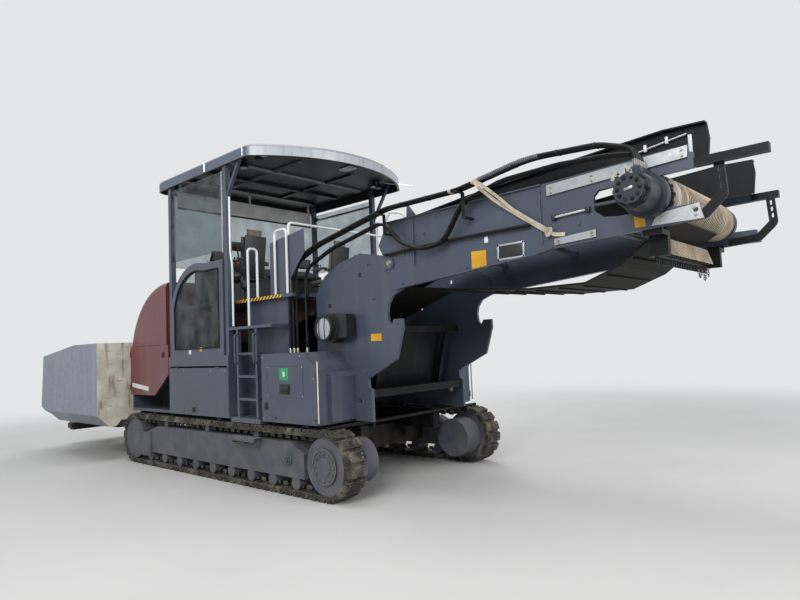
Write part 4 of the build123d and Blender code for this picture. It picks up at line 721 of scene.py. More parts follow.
class FEEDER_OT_stage(FeederPart, bpy.types.Operator):
    """Make the floor, the lamps and the camera"""
    bl_idname = "feeder.stage"
    bl_label = "Studio"

    def execute(self, context):
        backdrop = "#e4e6e8"
        tree, shader, place, _normal = new_material("Sealed_studio_floor")
        tone = layers(tree, "#b3b3b1", (patches(tree, place, 1.5, 0.3, 0.7), "#b8b8b6"))
        feed(tree, shader, {"Base Color": tone, "Roughness": 0.85})
        # past the machine the floor runs into the backdrop, so that no line shows between them
        away = add(tree, "VectorMath", {0: place}, "Value", operation="LENGTH")
        far = add(tree, "MapRange", {0: away, 1: FADE[0], 2: FADE[1]}, 0, interpolation_type="SMOOTHSTEP")
        glow = add(tree, "Emission", {"Color": backdrop, "Strength": 1.0}, 0)
        show(tree, add(tree, "MixShader", {0: far, 1: shader.outputs[0], 2: glow}, 0))
        bm = bmesh.new()
        bmesh.ops.create_grid(bm, x_segments=2, y_segments=2, size=FLOOR_HALF)
        mesh = bpy.data.meshes.new("studio_floor")
        bm.to_mesh(mesh)
        bm.free()
        mesh.materials.append(bpy.data.materials["Sealed_studio_floor"])
        floor = bpy.data.objects.new("studio_floor", mesh)
        context.scene.collection.objects.link(floor)

        world = bpy.data.worlds.new("Studio")
        world.use_nodes = True
        context.scene.world = world
        sky = world.node_tree
        sky.nodes.clear()
        path = add(sky, "LightPath").outputs
        seen = path["Is Camera Ray"]
        for ray in ("Is Glossy Ray", "Is Transmission Ray"):
            seen = add(sky, "Math", {0: seen, 1: path[ray]}, 0, operation="MAXIMUM")
        light = add(sky, "Background", {"Color": (0.93, 0.96, 1.0, 1), "Strength": 0.5}, 0)
        shown = add(sky, "Background", {"Color": backdrop, "Strength": 1.0}, 0)
        add(sky, "OutputWorld", {"Surface": add(sky, "MixShader", {0: seen, 1: light, 2: shown}, 0)})

        for name, spot, aim, size, watts in LAMPS:
            lamp = bpy.data.lights.new(name, "AREA")
            lamp.energy = watts
            lamp.size = size
            holder = bpy.data.objects.new(name, lamp)
            holder.location = spot
            holder.rotation_euler = (Vector(aim) - Vector(spot)).to_track_quat("-Z", "Y").to_euler()
            holder.visible_camera = False
            holder.visible_transmission = False
            context.scene.collection.objects.link(holder)

        camera = bpy.data.cameras.new("camera")
        camera.lens = self.sizes.lens
        camera.sensor_width = 36
        camera.clip_end = 400
        holder = bpy.data.objects.new("camera", camera)
        yaw, pitch, roll = (math.radians(a) for a in CAMERA_TURN)
        turn = Matrix.Rotation(yaw - math.pi / 2, 4, "Z") @ Matrix.Rotation(math.pi / 2 + pitch, 4, "X")
        holder.matrix_world = Matrix.Translation(CAMERA_PLACE) @ turn @ Matrix.Rotation(roll, 4, "Z")
        context.scene.collection.objects.link(holder)
        context.scene.camera = holder
        context.scene.view_settings.view_transform = "Standard"
        return {"FINISHED"}


def cushion(name, centre, half, turn, channels, pull=0.06):
    """A crowned pad: full in the middle, its sides drawn in between the corners, sewn channels across it."""
    bm = bmesh.new()
    steps = 26
    grid = {}
    for face in (1, -1):
        for i in range(steps + 1):
            for j in range(steps + 1):
                u, v = 2 * i / steps - 1, 2 * j / steps - 1
                if face < 0 and (i in (0, steps) or j in (0, steps)):
                    grid[face, i, j] = grid[1, i, j]
                    continue
                crown = (1 - abs(u) ** 5) ** 0.4 * (1 - abs(v) ** 5) ** 0.4
                swell = crown * (0.82 + 0.18 * (1 - u * u) * (1 - v * v))
                for c in channels if face > 0 else ():
                    swell -= 0.16 * math.exp(-((u - c) / 0.035) ** 2) * min(1, crown * 1.4)
                x = u * half[0] * (1 - pull * (1 - v * v))
                y = v * half[1] * (1 - pull * (1 - u * u))
                z = face * half[2] * swell * (1 if face > 0 else 0.75)
                grid[face, i, j] = bm.verts.new(turn @ Vector((x, y, z)) + Vector(centre))
        for i in range(steps):
            for j in range(steps):
                corners = [grid[face, i + m, j + n] for m, n in ((0, 0), (1, 0), (1, 1), (0, 1))]
                bm.faces.new(corners[::face])
    run = range(steps)
    rim = [(k, 0) for k in run] + [(steps, k) for k in run] + [(steps - k, steps) for k in run]
    rim += [(0, steps - k) for k in run]
    sweep(bm, [grid[1, i, j].co.copy() for i, j in rim], 0.005, closed=True, sides=6)
    made = piece(name, bm, "Coated_seat_vinyl", smooth=60)


class FEEDER_OT_seats(FeederPart, bpy.types.Operator):
    """Make the two operator's seats on their columns"""
    bl_idname = "feeder.seats"
    bl_label = "Seats"

    def execute(self, _context):
        bellows = [(0.075 if k % 2 else 0.06, 0.13 + 0.01 * k) for k in range(7)]
        column = [(0.095, 0), (0.095, 0.02), (0.066, 0.04), *bellows, (0.06, 0.3), (0, 0.3)]
        lean = Matrix.Rotation(math.radians(82), 3, "Y")
        x, top = SEAT_X, FLOOR_Z
        for word, side in SIDES:
            y = SEAT_Y * side
            bm = bmesh.new()
            slab(bm, x - 0.13, x + 0.13, y, 0.11, top + 0.0005, top + 0.03, 0.004)
            lathe(bm, (x, y, top + 0.03), UP, column, 24)
            slab(bm, x - 0.2, x + 0.24, y, 0.2, top + 0.33, top + 0.352, 0.006)
            slab(bm, x - 0.262, x - 0.236, y, 0.185, top + 0.37, top + 0.98, 0.01,
                 Matrix.Rotation(math.radians(-8), 4, "Y"))
            for s in (-1, 1):
                slab(bm, x - 0.215, x - 0.165, y + s * 0.2425, 0.0375, top + 0.56, top + 0.6, 0.006)
            base = piece("seat_base_" + word, bm, "Moulded_black_abs")
            if side > 0:
                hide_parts("seats")
            cushion("seat_cushion_" + word, (x + 0.02, y, top + 0.395), (0.235, 0.235, 0.052),
                    Matrix.Rotation(math.radians(-3), 3, "Y"), (-0.35, 0.3))
            cushion("seat_back_" + word, (x - 0.2, y, top + 0.69), (0.27, 0.215, 0.05), lean,
                    (-0.45, 0.0, 0.45))
            cushion("seat_head_" + word, (x - 0.255, y, top + 1.01), (0.062, 0.13, 0.045), lean, ())
            for s, arm in ((-1, "inner"), (1, "outer")):
                cushion(f"seat_armrest_{arm}_{word}", (x - 0.01, y + s * 0.26 * side, top + 0.612),
                        (0.185, 0.03, 0.024), Matrix.Identity(3), (), pull=0.02)
        return {"FINISHED"}


# Blocks on the side panels: piece, finish, body, slot, then x0, x1, z0, z1, how far each stands out, its edge
FACE_BLOCKS = (
    ("sign_place", "Engraved_sign_green", "box_door_", None, ((-1.275, -1.095, 1.37, 1.52, 0.003, 0.002),)),
    ("box_latches", "Moulded_black_abs", "box_door_", "black_steel", (
        (-1.295, -1.095, 1.2, 1.325, 0.006, 0.002), (-1.28, -1.11, 1.215, 1.31, 0.016, 0.006),
        (-1.26, -1.13, 1.24, 1.262, 0.03, 0.008), (-0.84, -0.77, 1.0, 1.095, 0.008, 0.003),
        (-0.825, -0.785, 1.02, 1.075, 0.02, 0.005), (-1.762, -1.738, 0.9, 0.925, 0.006, 0.002),
        (-1.012, -0.988, 0.9, 0.925, 0.006, 0.002))),
    ("flap_latch", "Moulded_black_abs", "side_flap_", "black_steel", (
        (0.925, 1.015, 0.895, 0.975, 0.006, 0.003), (0.945, 0.995, 0.91, 0.96, 0.018, 0.006))),
    ("hood_latch", "Moulded_black_abs", "hood_door_", "black_steel", (
        (1.84, 1.925, 1.7, 1.79, 0.006, 0.003), (1.86, 1.905, 1.715, 1.775, 0.018, 0.006))),
    ("panel_plate_white", "Vinyl_film_white", "chassis", None, ((1.015, 1.085, 1.735, 1.795, 0.0012, 0),)),
    ("panel_plate_yellow", "Vinyl_film_yellow", "chassis", None, ((0.71, 0.775, 1.77, 1.83, 0.0012, 0),)),
)
# Screws on the doors: piece, body, places as x and z
DOOR_SCREWS = (
    ("box_screws", "box_door_", (
        (-1.535, 1.182), (-0.851, 1.182), (-1.535, 1.528), (-0.851, 1.528), (-1.74, 1.39), (-1.74, 0.9),
        (-0.75, 1.65), (-0.75, 0.9), (-1.5, 1.66))),
    ("flap_screws", "side_flap_", ((0.12, 1.49), (0.5, 1.49), (1.25, 1.49), (1.62, 1.49))),
)
# Bolts on the galvanised and the mounting plates: plane, places as x and z, width across, height
PLATE_BOLTS = (
    (CONVEYOR_Y + 0.0202, (
        (-4.60, 3.085), (-4.60, 3.135), (-5.0, 3.11), (-5.0, 3.155), (-5.4, 3.13), (-5.4, 3.175),
        (-5.76, 3.15), (-5.76, 3.2), (-4.65, 2.61), (-4.65, 2.633), (-4.97, 2.63), (-4.97, 2.657)),
     0.02, 0.011),
    (CONVEYOR_Y + 0.0262, ((-5.56, 2.66), (-5.58, 2.7), (-5.83, 2.66), (-5.82, 2.72)), 0.02, 0.011),
    (CONVEYOR_Y + 0.0222, ((-2.53, 2.676),), 0.046, 0.024),
)
# Common bolts on the conveyor and the cheeks: plane, places as x and z
PANEL_BOLTS = (
    (CONVEYOR_Y + PROUD, ((-2.7, 2.43), (-3.6, 2.51), (-2.75, 2.75), (-3.05, 2.95), (-4.85, 2.75))),
    (CHEEK_Y + PROUD, (
        (-2.42, 2.62), (-2.12, 2.72), (-1.7, 2.7), (-2.56, 1.99), (-2.03, 1.44), (-2.03, 0.95), (-2.2, 2.3))),
)


class FEEDER_OT_side_fittings(FeederPart, bpy.types.Operator):
    """Make the latches, sign places, hinges' screws and label places of the doors and side plates"""
    bl_idname = "feeder.side_fittings"
    bl_label = "Door fittings"

    def execute(self, _context):
        for name, finish, body, slot, rows in FACE_BLOCKS:
            for bm, side in on_sides(name, finish, body, slot):
                for row in rows:
                    face_block(bm, side, SIDE_Y + PROUD, *row)
        for bm, side in on_sides("sign_centre", "Vinyl_film_white", "box_door_"):
            face_block(bm, side, SIDE_Y + 0.0036, -1.205, -1.165, 1.415, 1.475, 0.0012, 0)
        for name, body, places in DOOR_SCREWS:
            for bm, side in on_sides(name, "Zinc_plated_fastener", body, "zinc"):
                for x, z in places:
                    lathe(bm, (x, side * (SIDE_Y + PROUD), z), (0, side, 0),
                          ((0.011, 0), (0.011, 0.003), (0.007, 0.0055), (0, 0.0055)), 12)

        # places of the conveyor's and the cheek's plates, left bare
        for bm, side in on_sides("bare_plates", "Vinyl_film_yellow"):
            for y, corners in (
                    (CONVEYOR_Y, ((-3.665, 2.66), (-3.845, 2.655), (-3.845, 2.475), (-3.665, 2.48))),
                    (CONVEYOR_Y, ((-5.34, 2.755), (-5.43, 2.757), (-5.435, 2.635), (-5.345, 2.633))),
                    (CHEEK_Y, ((-2.13, 1.885), (-2.305, 1.885), (-2.305, 1.8), (-2.13, 1.8)))):
                plate(bm, corners, y + PROUD, 0.0012, side)
        for bm, side in on_sides("plate_frame", "Anodised_aluminium", slot="zinc"):
            for bar in ((-3.98, -4.285, 2.665, 2.685), (-3.98, -4.285, 2.525, 2.545),
                        (-3.98, -4.0, 2.525, 2.685), (-4.265, -4.285, 2.525, 2.685)):
                face_block(bm, side, CONVEYOR_Y + PROUD, *bar, 0.0086)
        for bm, side in on_sides("plate_blank", "Moulded_black_abs", slot="black_steel"):
            face_block(bm, side, CONVEYOR_Y + PROUD, -3.999, -4.266, 2.544, 2.666, 0.0026, 0.0005)
        return {"FINISHED"}


class FEEDER_OT_fasteners(FeederPart, bpy.types.Operator):
    """Make the bolts of the crawlers, cheeks, conveyor and drum motor, and the step under the ladder"""
    bl_idname = "feeder.fasteners"
    bl_label = "Fasteners"

    def execute(self, _context):
        with shape("motor_bolts", "Sprayed_enamel_black", slot="black_steel") as bm:
            bolt_ring(bm, (DRUM.x, MOTOR_Y, DRUM.z), LEFT, 0.088, 10, 0.022, 0.014)
            bolt_ring(bm, (DRUM.x, 1.354, DRUM.z), LEFT, 0.122, 8, 0.026, 0.016)
        with shape("bearing_bolts", "Zinc_plated_fastener", slot="zinc") as bm:
            bolt_ring(bm, (DRUM.x, -1.0902, DRUM.z), RIGHT, 0.095, 8, 0.024, 0.014)
            bolt_ring(bm, (DRUM.x, -1.0602, DRUM.z), RIGHT, 0.16, 12, 0.022, 0.012)
        for bm, side in on_sides("crawler_bolts", "Sprayed_enamel_crawler", slot="crawler_paint"):
            out = (0, side, 0)
            y = side * (CRAWLER_Y + 0.0003)
            bolt_ring(bm, (TRACK_REAR_X, y, TRACK_MID_Z), out, 0.155, 12, 0.028, 0.014)
            lathe(bm, (TRACK_REAR_X, side * CRAWLER_Y, TRACK_MID_Z), out,
                  ((0.105, 0), (0.105, 0.008), (0.09, 0.014), (0.03, 0.016), (0, 0.016)), 32)
            # the folded step under the ladder
            face_block(bm, side, CRAWLER_Y + 0.0003, -0.69, -0.13, 0.64, 0.655, 0.1197, 0.003)
            face_block(bm, side, CRAWLER_Y + 0.112, -0.69, -0.13, 0.60, 0.6395, 0.008)
            for x in (-0.66, -0.41, -0.16):
                strut(bm, (x - 0.006, y, 0.60), (x + 0.006, y, 0.60), (0, 0, 0.078), (0, side * 0.09, 0))
            bolt_ring(bm, (-1.2, side * (CRAWLER_Y - 0.0037), 0.42), out, 0.045, 6, 0.022, 0.012)
            lathe(bm, (-1.2, side * (CRAWLER_Y - 0.0038), 0.42), out,
                  ((0.022, 0), (0.022, 0.016), (0, 0.016)), 16)
        for bm, side in on_sides("drive_rims", "Scoured_steel", slot="track_steel"):
            ring(bm, (TRACK_REAR_X, side * (CRAWLER_Y + 0.0002), TRACK_MID_Z), (0, side, 0),
                 0.185, 0.205, 0.007, 56)
        for bm, side in on_sides("plate_bolts", "Zinc_plated_fastener", slot="zinc"):
            for y, places, across, height in PLATE_BOLTS:
                bolts(bm, side, y, places, across, height)
        for bm, side in on_sides("panel_bolts", "Sprayed_enamel_slate", slot="painted_steel"):
            for y, places in PANEL_BOLTS:
                bolts(bm, side, y, places, self.sizes.bolt, 0.013)
        return {"FINISHED"}


def loop_point(s, offset):
    """A point at length s of the track's loop, offset outside the shoes' base, and the way out there."""
    run = TRACK_FRONT_X - TRACK_REAR_X
    turn = math.pi * SHOE_BASE
    s = s % (2 * run + 2 * turn)
    if s < run:
        return Vector((TRACK_REAR_X + s, 0, TRACK_MID_Z - SHOE_BASE - offset)), Vector(DOWN)
    if run + turn <= s < 2 * run + turn:
        return Vector((TRACK_FRONT_X - (s - run - turn), 0, TRACK_MID_Z + SHOE_BASE + offset)), Vector(UP)
    front = s < run + turn
    a = (s - run) / SHOE_BASE - math.pi / 2 if front else (s - 2 * run - turn) / SHOE_BASE + math.pi / 2
    out = Vector((math.cos(a), 0, math.sin(a)))
    wheel = Vector((TRACK_FRONT_X if front else TRACK_REAR_X, 0, TRACK_MID_Z))
    return wheel + out * (SHOE_BASE + offset), out


class FEEDER_OT_track_details(FeederPart, bpy.types.Operator):
    """Make the chain links under the shoes and the bolts that hold the shoes"""
    bl_idname = "feeder.track_details"
    bl_label = "Track details"

    def execute(self, _context):
        pitch = (2 * (TRACK_FRONT_X - TRACK_REAR_X) + math.tau * SHOE_BASE) / SHOES
        for bm, side in on_sides("track_links", "Forged_track_steel", slot="track_steel"):
            for shoe in range(SHOES):
                at, out = loop_point((shoe + 0.5) * pitch, -0.012)
                turn = Matrix((Vector(LEFT).cross(out), LEFT, out)).transposed().to_4x4()
                for y in (-0.06, 0.06):
                    size = Matrix.Diagonal((0.085, 0.022, 0.05, 1))
                    middle = at - out * 0.062 + Vector((0, side * TRACK_Y + y, 0))
                    made = bmesh.ops.create_cube(bm, size=1, matrix=Matrix.Translation(middle) @ turn @ size)
                    edges = list({e for v in made["verts"] for e in v.link_edges})
                    bmesh.ops.bevel(bm, geom=edges, offset=0.006, segments=1, affect="EDGES")
        for bm, side in on_sides("shoe_bolts", "Scoured_steel", slot="track_steel"):
            for shoe in range(SHOES):
                at, out = loop_point((shoe + 0.5) * pitch, 0.04)
                if at.z < 0.12:     # the ground hides these
                    continue
                along = Vector(LEFT).cross(out)
                for y in (-0.09, 0.09):
                    for x in (-0.022, 0.022):
                        lathe(bm, at + along * x + Vector((0, side * TRACK_Y + y, 0)) - out * 0.001, out,
                              ((0.013, 0), (0.013, 0.002), (0, 0.002)), 6)
        return {"FINISHED"}


class FEEDER_OT_lamps(FeederPart, bpy.types.Operator):
    """Make the lenses and bezels of the work lamps and the roof lamps"""
    bl_idname = "feeder.lamps"
    bl_label = "Lamps"

    def execute(self, _context):
        x0, y0, z0 = -1.56, CHEEK_Y + 0.2253, 1.98
        for bm, side in on_sides("lamp_bezel", "Moulded_black_abs", slot="lamp_plastic"):
            lathe(bm, (x0, side * y0, z0), (0, side, 0),
                  ((0.15, 0), (0.158, 0.01), (0.158, 0.035), (0.138, 0.04), (0.132, 0.008), (0.132, 0)), 40)
            guard = ((0.046, -0.15), (0.058, 0), (0.046, 0.15))
            for x in (x0 - 0.05, x0 + 0.05):
                sweep(bm, [(x, side * (y0 + y), z0 + z) for y, z in guard], 0.005)
            bolts(bm, side, y0 + 0.036, [(x0 + x, z0 + z) for x in (-0.08, 0.08) for z in (-0.14, 0.14)],
                  0.014, 0.008)
        for bm, side in on_sides("lamp_lens", "Clear_polycarbonate_lens", slot="pane"):
            lathe(bm, (x0, side * (y0 + 0.0005), z0), (0, side, 0),
                  ((0, 0), (0.131, 0), (0.131, 0.018), (0.11, 0.028), (0.06, 0.036), (0, 0.038)), 40)
        for bm, side in on_sides("roof_lens", "Clear_polycarbonate_lens", slot="pane"):
            lathe(bm, (-0.34, side * 1.18, 4.3922), DOWN,
                  ((0.058, 0), (0.052, 0.012), (0.03, 0.018), (0, 0.02)), 28)
        return {"FINISHED"}


class FEEDER_OT_hazard_strips(FeederPart, bpy.types.Operator):
    """Make the striped film on the platform's edges"""
    bl_idname = "feeder.hazard_strips"
    bl_label = "Hazard strips"

    def execute(self, _context):
        for bm, side in on_sides("hazard_strip", "Reflective_hazard_film"):
            top = FLOOR_Z - 0.001
            face_block(bm, side, 1.2902, -0.90, 0.13, top - self.sizes.stripe, top, 0.0013, 0)
        return {"FINISHED"}


class FEEDER_OT_hose_fittings(FeederPart, bpy.types.Operator):
    """Make the crimped fittings at both ends of the hydraulic hoses"""
    bl_idname = "feeder.hose_fittings"
    bl_label = "Hose fittings"

    def execute(self, _context):
        ends = [(UPPER_HOSE_Y + 0.04 * i, -1.01 + 0.024 * i) for i in range(3)]
        ends += [(LOWER_HOSE_Y + 0.04 * i, -1.1 - 0.04 * i) for i in range(2)]
        with shape("hose_ferrules", "Zinc_plated_fastener", slot="zinc") as bm:
            for y, foot in ends:
                lathe(bm, (DRUM.x, y, 3.0805), UP,
                      ((0.0185, 0), (0.0185, 0.014), (0.0195, 0.016), (0.0195, 0.06), (0.0175, 0.066)), 6)
                lathe(bm, (foot, y, 1.7005), UP, ((0.0195, 0), (0.0195, 0.05), (0.0175, 0.058)), 12)
        return {"FINISHED"}


class FEEDER_OT_window_trim(FeederPart, bpy.types.Operator):
    """Make the window seals and the glass clamps of the operator's station"""
    bl_idname = "feeder.window_trim"
    bl_label = "Window trim"

    def execute(self, _context):
        x0, x1, z0, z1 = WINDOW
        start = (x1, z0 + (z1 - z0) * 0.55)
        end = (x0 + (x1 - x0) * 0.35, z1)
        middle = (x0 + (x1 - x0) * 0.83, z0 + (z1 - z0) * 0.88)
        outline = [(x0, z1), (x0, z0), (x1, z0)] + arc3(start, middle, end, 20)
        for bm, side in on_sides("window_seal", "Extruded_seal_rubber", slot="hose_rubber"):
            sweep(bm, [(x, side * (SIDE_Y + 0.002), z) for x, z in outline], 0.011, closed=True)
        for bm, side in on_sides("glass_clamps", "Moulded_black_abs", slot="black_steel"):
            places = [(x, z) for x in (0.145, 1.585) for z in (3.23, 3.72, 4.2)]
            for x, z in places:
                face_block(bm, side, SIDE_Y - 0.0375, x - 0.024, x + 0.024, z - 0.03, z + 0.03, 0.0115, 0.003)
            bolts(bm, side, SIDE_Y - 0.0258, places, 0.016, 0.009)
        return {"FINISHED"}


class FEEDER_OT_belt_details(FeederPart, bpy.types.Operator):
    """Make the belt's cleats, the drum's ribbed cover and the painted shade in its grooves"""
    bl_idname = "feeder.belt_details"
    bl_label = "Belt details"

    def execute(self, _context):
        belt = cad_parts["belt"]
        with shape("belt_cleats", "Vulcanised_belt_rubber", slot="belt_rubber") as bm:
            for x, end, height, way in ((-5.3, 5.1, 6, -1), (-5.15, -2.4, 0, 1)):
                while x < end:
                    hit, at, normal, _face = belt.ray_cast(Vector((x, 0, height)), Vector((0, 0, way)))
                    if not hit:
                        raise RuntimeError("no belt under a cleat")
                    lean = normal if normal.z * way < 0 else -normal
                    turn = Matrix((Vector(LEFT).cross(lean), LEFT, lean)).transposed()
                    at = at + lean * 0.0072
                    slab(bm, at.x - 0.011, at.x + 0.011, 0, 0.53, at.z - 0.007, at.z + 0.007, 0.004,
                         turn.to_4x4())
                    x += self.sizes.cleat
        hoops = round(2 * BELT_HALF / HOOP)
        low, high, step = COVER_TURN
        with shape("drum_cover", "Dust_caked_rubber", slot="belt_rubber") as bm:
            rows = []
            for turn in range(low, high + step, step):
                rows.append([])
                for k in range(4 * hoops + 1):
                    swell = 0.008 * (0.5 - 0.5 * math.cos(k * math.pi / 2)) if low < turn < high else 0
                    rows[-1].append(bm.verts.new(on_drum(turn, -BELT_HALF + k * HOOP / 4, BELT_R + swell)))
            for near, far in zip(rows, rows[1:]):
                for k in range(4 * hoops):
                    bm.faces.new([near[k], near[k + 1], far[k + 1], far[k]])
        # dark rubber strips laid in the grooves between the hoops are painted shade
        with shape("drum_grooves", "Vulcanised_belt_rubber", slot="belt_rubber") as bm:
            for k in range(1, hoops):
                y = -BELT_HALF + k * HOOP
                for turn in range(low, high, step):
                    bm.faces.new([bm.verts.new(on_drum(turn + t, y + w, GROOVE_SHADE_R))
                                  for t, w in ((0, -0.012), (0, 0.012), (step, 0.012), (step, -0.012))])
            bmesh.ops.remove_doubles(bm, verts=bm.verts, dist=0.0001)
        return {"FINISHED"}


class FEEDER_OT_discharge_details(FeederPart, bpy.types.Operator):
    """Make the rings, lugs and pipes of the drum, the scraper's face, its chains and the skirts' fittings"""
    bl_idname = "feeder.discharge_details"
    bl_label = "Discharge end"

    def execute(self, _context):
        with shape("drum_lug_rings", "Sprayed_enamel_black", slot="black_steel") as bm:
            for side in (1, -1):
                ring(bm, (DRUM.x, side * (LAG_Y + 0.004), DRUM.z), (0, side, 0),
                     0.13, LAG_R - 0.012, 0.032, 48)
                for i in range(LUGS):
                    turn = Matrix.Rotation(i * math.tau / LUGS, 4, "Y")
                    at = DRUM + turn @ Vector((0, 0, LAG_R - 0.006)) + Vector((0, side * (LAG_Y + 0.02), 0))
                    slab(bm, at.x - 0.011, at.x + 0.011, at.y, 0.013, at.z - 0.008, at.z + 0.008, 0.003, turn)
        with shape("drum_worn_rings", "Vinyl_film_white") as bm:
            for y in (0.778, 0.812):
                ring(bm, (DRUM.x, y, DRUM.z), LEFT, LAG_R + 0.0065, LAG_R + 0.0105, 0.014, 64)
        with shape("drum_bright_ring", "Hard_chromed_rod", slot="zinc") as bm:
            ring(bm, (DRUM.x, -LAG_Y - 0.037, DRUM.z), RIGHT, 0.12, LAG_R + 0.004, 0.004, 64)
        with shape("motor_fittings", "Zinc_plated_fastener", slot="zinc") as bm:
            face_block(bm, 1, MOTOR_Y + PROUD, DRUM.x - 0.034, DRUM.x + 0.034, DRUM.z - 0.01, DRUM.z + 0.01,
                       0.0016, 0.0007, Matrix.Rotation(math.radians(12), 4, "Y"))
            for x, y, z, lean in ((0.07, 1.335, 0.10, 0.5), (0.02, 1.30, 0.142, 0.2),
                                  (0.115, 1.25, 0.09, 0.9), (-0.02, 1.375, 0.1, 0.0)):
                way = Vector((math.sin(lean), 0.0, math.cos(lean)))
                foot = Vector((DRUM.x + x, y, DRUM.z + z))
                elbow = foot + way * 0.052
                lathe(bm, foot, way,
                      ((0, 0), (0.021, 0), (0.021, 0.014), (0.015, 0.016), (0.015, 0.03), (0, 0.03)), 6)
                sweep(bm, (foot + way * 0.028, foot + way * 0.042, foot + way * 0.05 + Vector((0, 0.012, 0)),
                           elbow + Vector((0, 0.035, 0))), 0.011, sides=10)
                lathe(bm, elbow + Vector((0, 0.033, 0)), LEFT,
                      ((0, 0), (0.018, 0), (0.018, 0.016), (0, 0.016)), 6)

        # the scraper's rubber face lies on the CAD ribs, its own ribs slanting across it
        top, low = Vector((-5.4325, 0, 2.580)), Vector((-5.4745, 0, 2.428))
        out = Vector((-(top - low).z, 0, (top - low).x)).normalized()
        with shape("scraper_face", "Vulcanised_belt_rubber", slot="belt_rubber") as bm:
            strut(bm, top + out * 0.0006, low + out * 0.0006, (0, 2 * SCRAPER_HALF, 0), out * 0.003)
        with shape("scraper_ribs", "Dust_caked_rubber", slot="belt_rubber") as bm:
            for i in range(round(2 * SCRAPER_HALF / RIB_STEP)):
                y = SCRAPER_HALF - 0.012 - i * RIB_STEP
                end = max(-SCRAPER_HALF, y - 0.05)
                strut(bm, top + out * 0.0034 + Vector((0, y, 0)), low + out * 0.0034 + Vector((0, end, 0)),
                      (0, 0.024, 0), out * 0.005)
        with shape("scraper_chains", "Scoured_steel", slot="black_steel") as bm:
            for y0, y1, drop in ((-0.44, -0.56, 0.1), (-0.61, -0.71, 0.12), (-0.79, -0.79, 0.09)):
                # a chain held at both ends sags, the last one hangs from one end
                run = [(k / 40, 4 * k / 40 * (1 - k / 40) if y0 != y1 else k / 40) for k in range(41)]
                chain(bm, [Vector((-5.415, y0 + (y1 - y0) * t, 2.392 - drop * sag)) for t, sag in run])

        with shape("skirt_bars", "Anodised_aluminium", slot="zinc") as bm:
            for side in (1, -1):
                y = side * (SKIRT_Y + 0.0125)
                sweep(bm, ((-5.36, y, 3.31), (-5.76, y, 3.372)), 0.012, sides=12)
                face_block(bm, side, SKIRT_Y + PROUD, -5.70, -5.37, 3.225, 3.262, 0.0026, 0.001)
        with shape("skirt_brackets", "Sprayed_enamel_white", slot="pale_paint") as bm:
            for side in (1, -1):
                face_block(bm, side, SKIRT_Y + PROUD, -5.795, -5.765, 3.17, 3.36, 0.0156, 0.003)
                for x in (-5.42, -5.6):
                    z = 3.29 - (x + 5.36) * 0.15
                    face_block(bm, side, SKIRT_Y + PROUD, x - 0.012, x + 0.012, z, z + 0.06, 0.0276, 0.003)
        for bm, side in on_sides("rod_blocks", "Moulded_black_abs", slot="black_steel"):
            lathe(bm, (-5.835, side * (CONVEYOR_Y + 0.0262), 2.70), (0, side, 0),
                  ((0, 0), (0.02, 0), (0.02, 0.001), (0, 0.001)), 24)
            for x in (-4.62, -4.95):
                z = 2.82 - (x + 4.6) * 0.05
                face_block(bm, side, CONVEYOR_Y + PROUD, x - 0.02, x + 0.02, z, z + 0.05, 0.0396, 0.004)
        for bm, side in on_sides("side_rod", "Hard_chromed_rod", slot="zinc"):
            y = side * (CONVEYOR_Y + 0.026)
            sweep(bm, ((-4.61, y, 2.845), (-4.96, y, 2.863)), 0.011, sides=14)
        return {"FINISHED"}


class FEEDER_OT_conveyor_fittings(FeederPart, bpy.types.Operator):
    """Make the conveyor's pipe clips, hoop, gusset and seams"""
    bl_idname = "feeder.conveyor_fittings"
    bl_label = "Conveyor fittings"

    def execute(self, _context):
        y = (CHEEK_Y + CONVEYOR_Y) / 2
        for bm, side in on_sides("hoop", "Sprayed_enamel_white", slot="pale_paint"):
            run = [(x, side * y, top_of("conveyor_frame", x, side * y) + 0.0005 + h) for x, h in HOOP_RUN]
            sweep(bm, run, 0.014, sides=12)
            face_block(bm, side, CONVEYOR_Y + PROUD, -3.882, -3.838, 2.725, 2.788, 0.0106, 0.003)
        for bm, side in on_sides("conveyor_gusset", "Sprayed_enamel_slate", slot="painted_steel"):
            z = top_of("conveyor_frame", -2.83, side * y) + 0.0005
            plate(bm, [(-2.80, z + 0.15), (-2.82, z + 0.15), (-2.93, z + 0.012), (-2.79, z)],
                  y - 0.005, 0.01, side)
            for x, z0, z1 in ((-2.86, 2.47, 3.09), (-4.45, 2.60, 3.14)):
                sweep(bm, ((x, side * CONVEYOR_Y, z0), (x, side * CONVEYOR_Y, z1)), 0.004, sides=6)
        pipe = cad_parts["side_pipe"]
        with shape("pipe_clips", "Zinc_plated_fastener", slot="zinc") as bm:
            for x in (-2.72, -3.1, -3.48, -3.95, -4.28):
                high = top_of("side_pipe", x, PIPE_Y)
                _hit, under, _n, _f = pipe.ray_cast(Vector((x, PIPE_Y, 1)), Vector(UP))
                r = (high - under.z) / 2
                ring(bm, (x - 0.011, PIPE_Y, (high + under.z) / 2), (1, 0, 0),
                     r + 0.0003, r + 0.004, 0.022, 24)
        return {"FINISHED"}


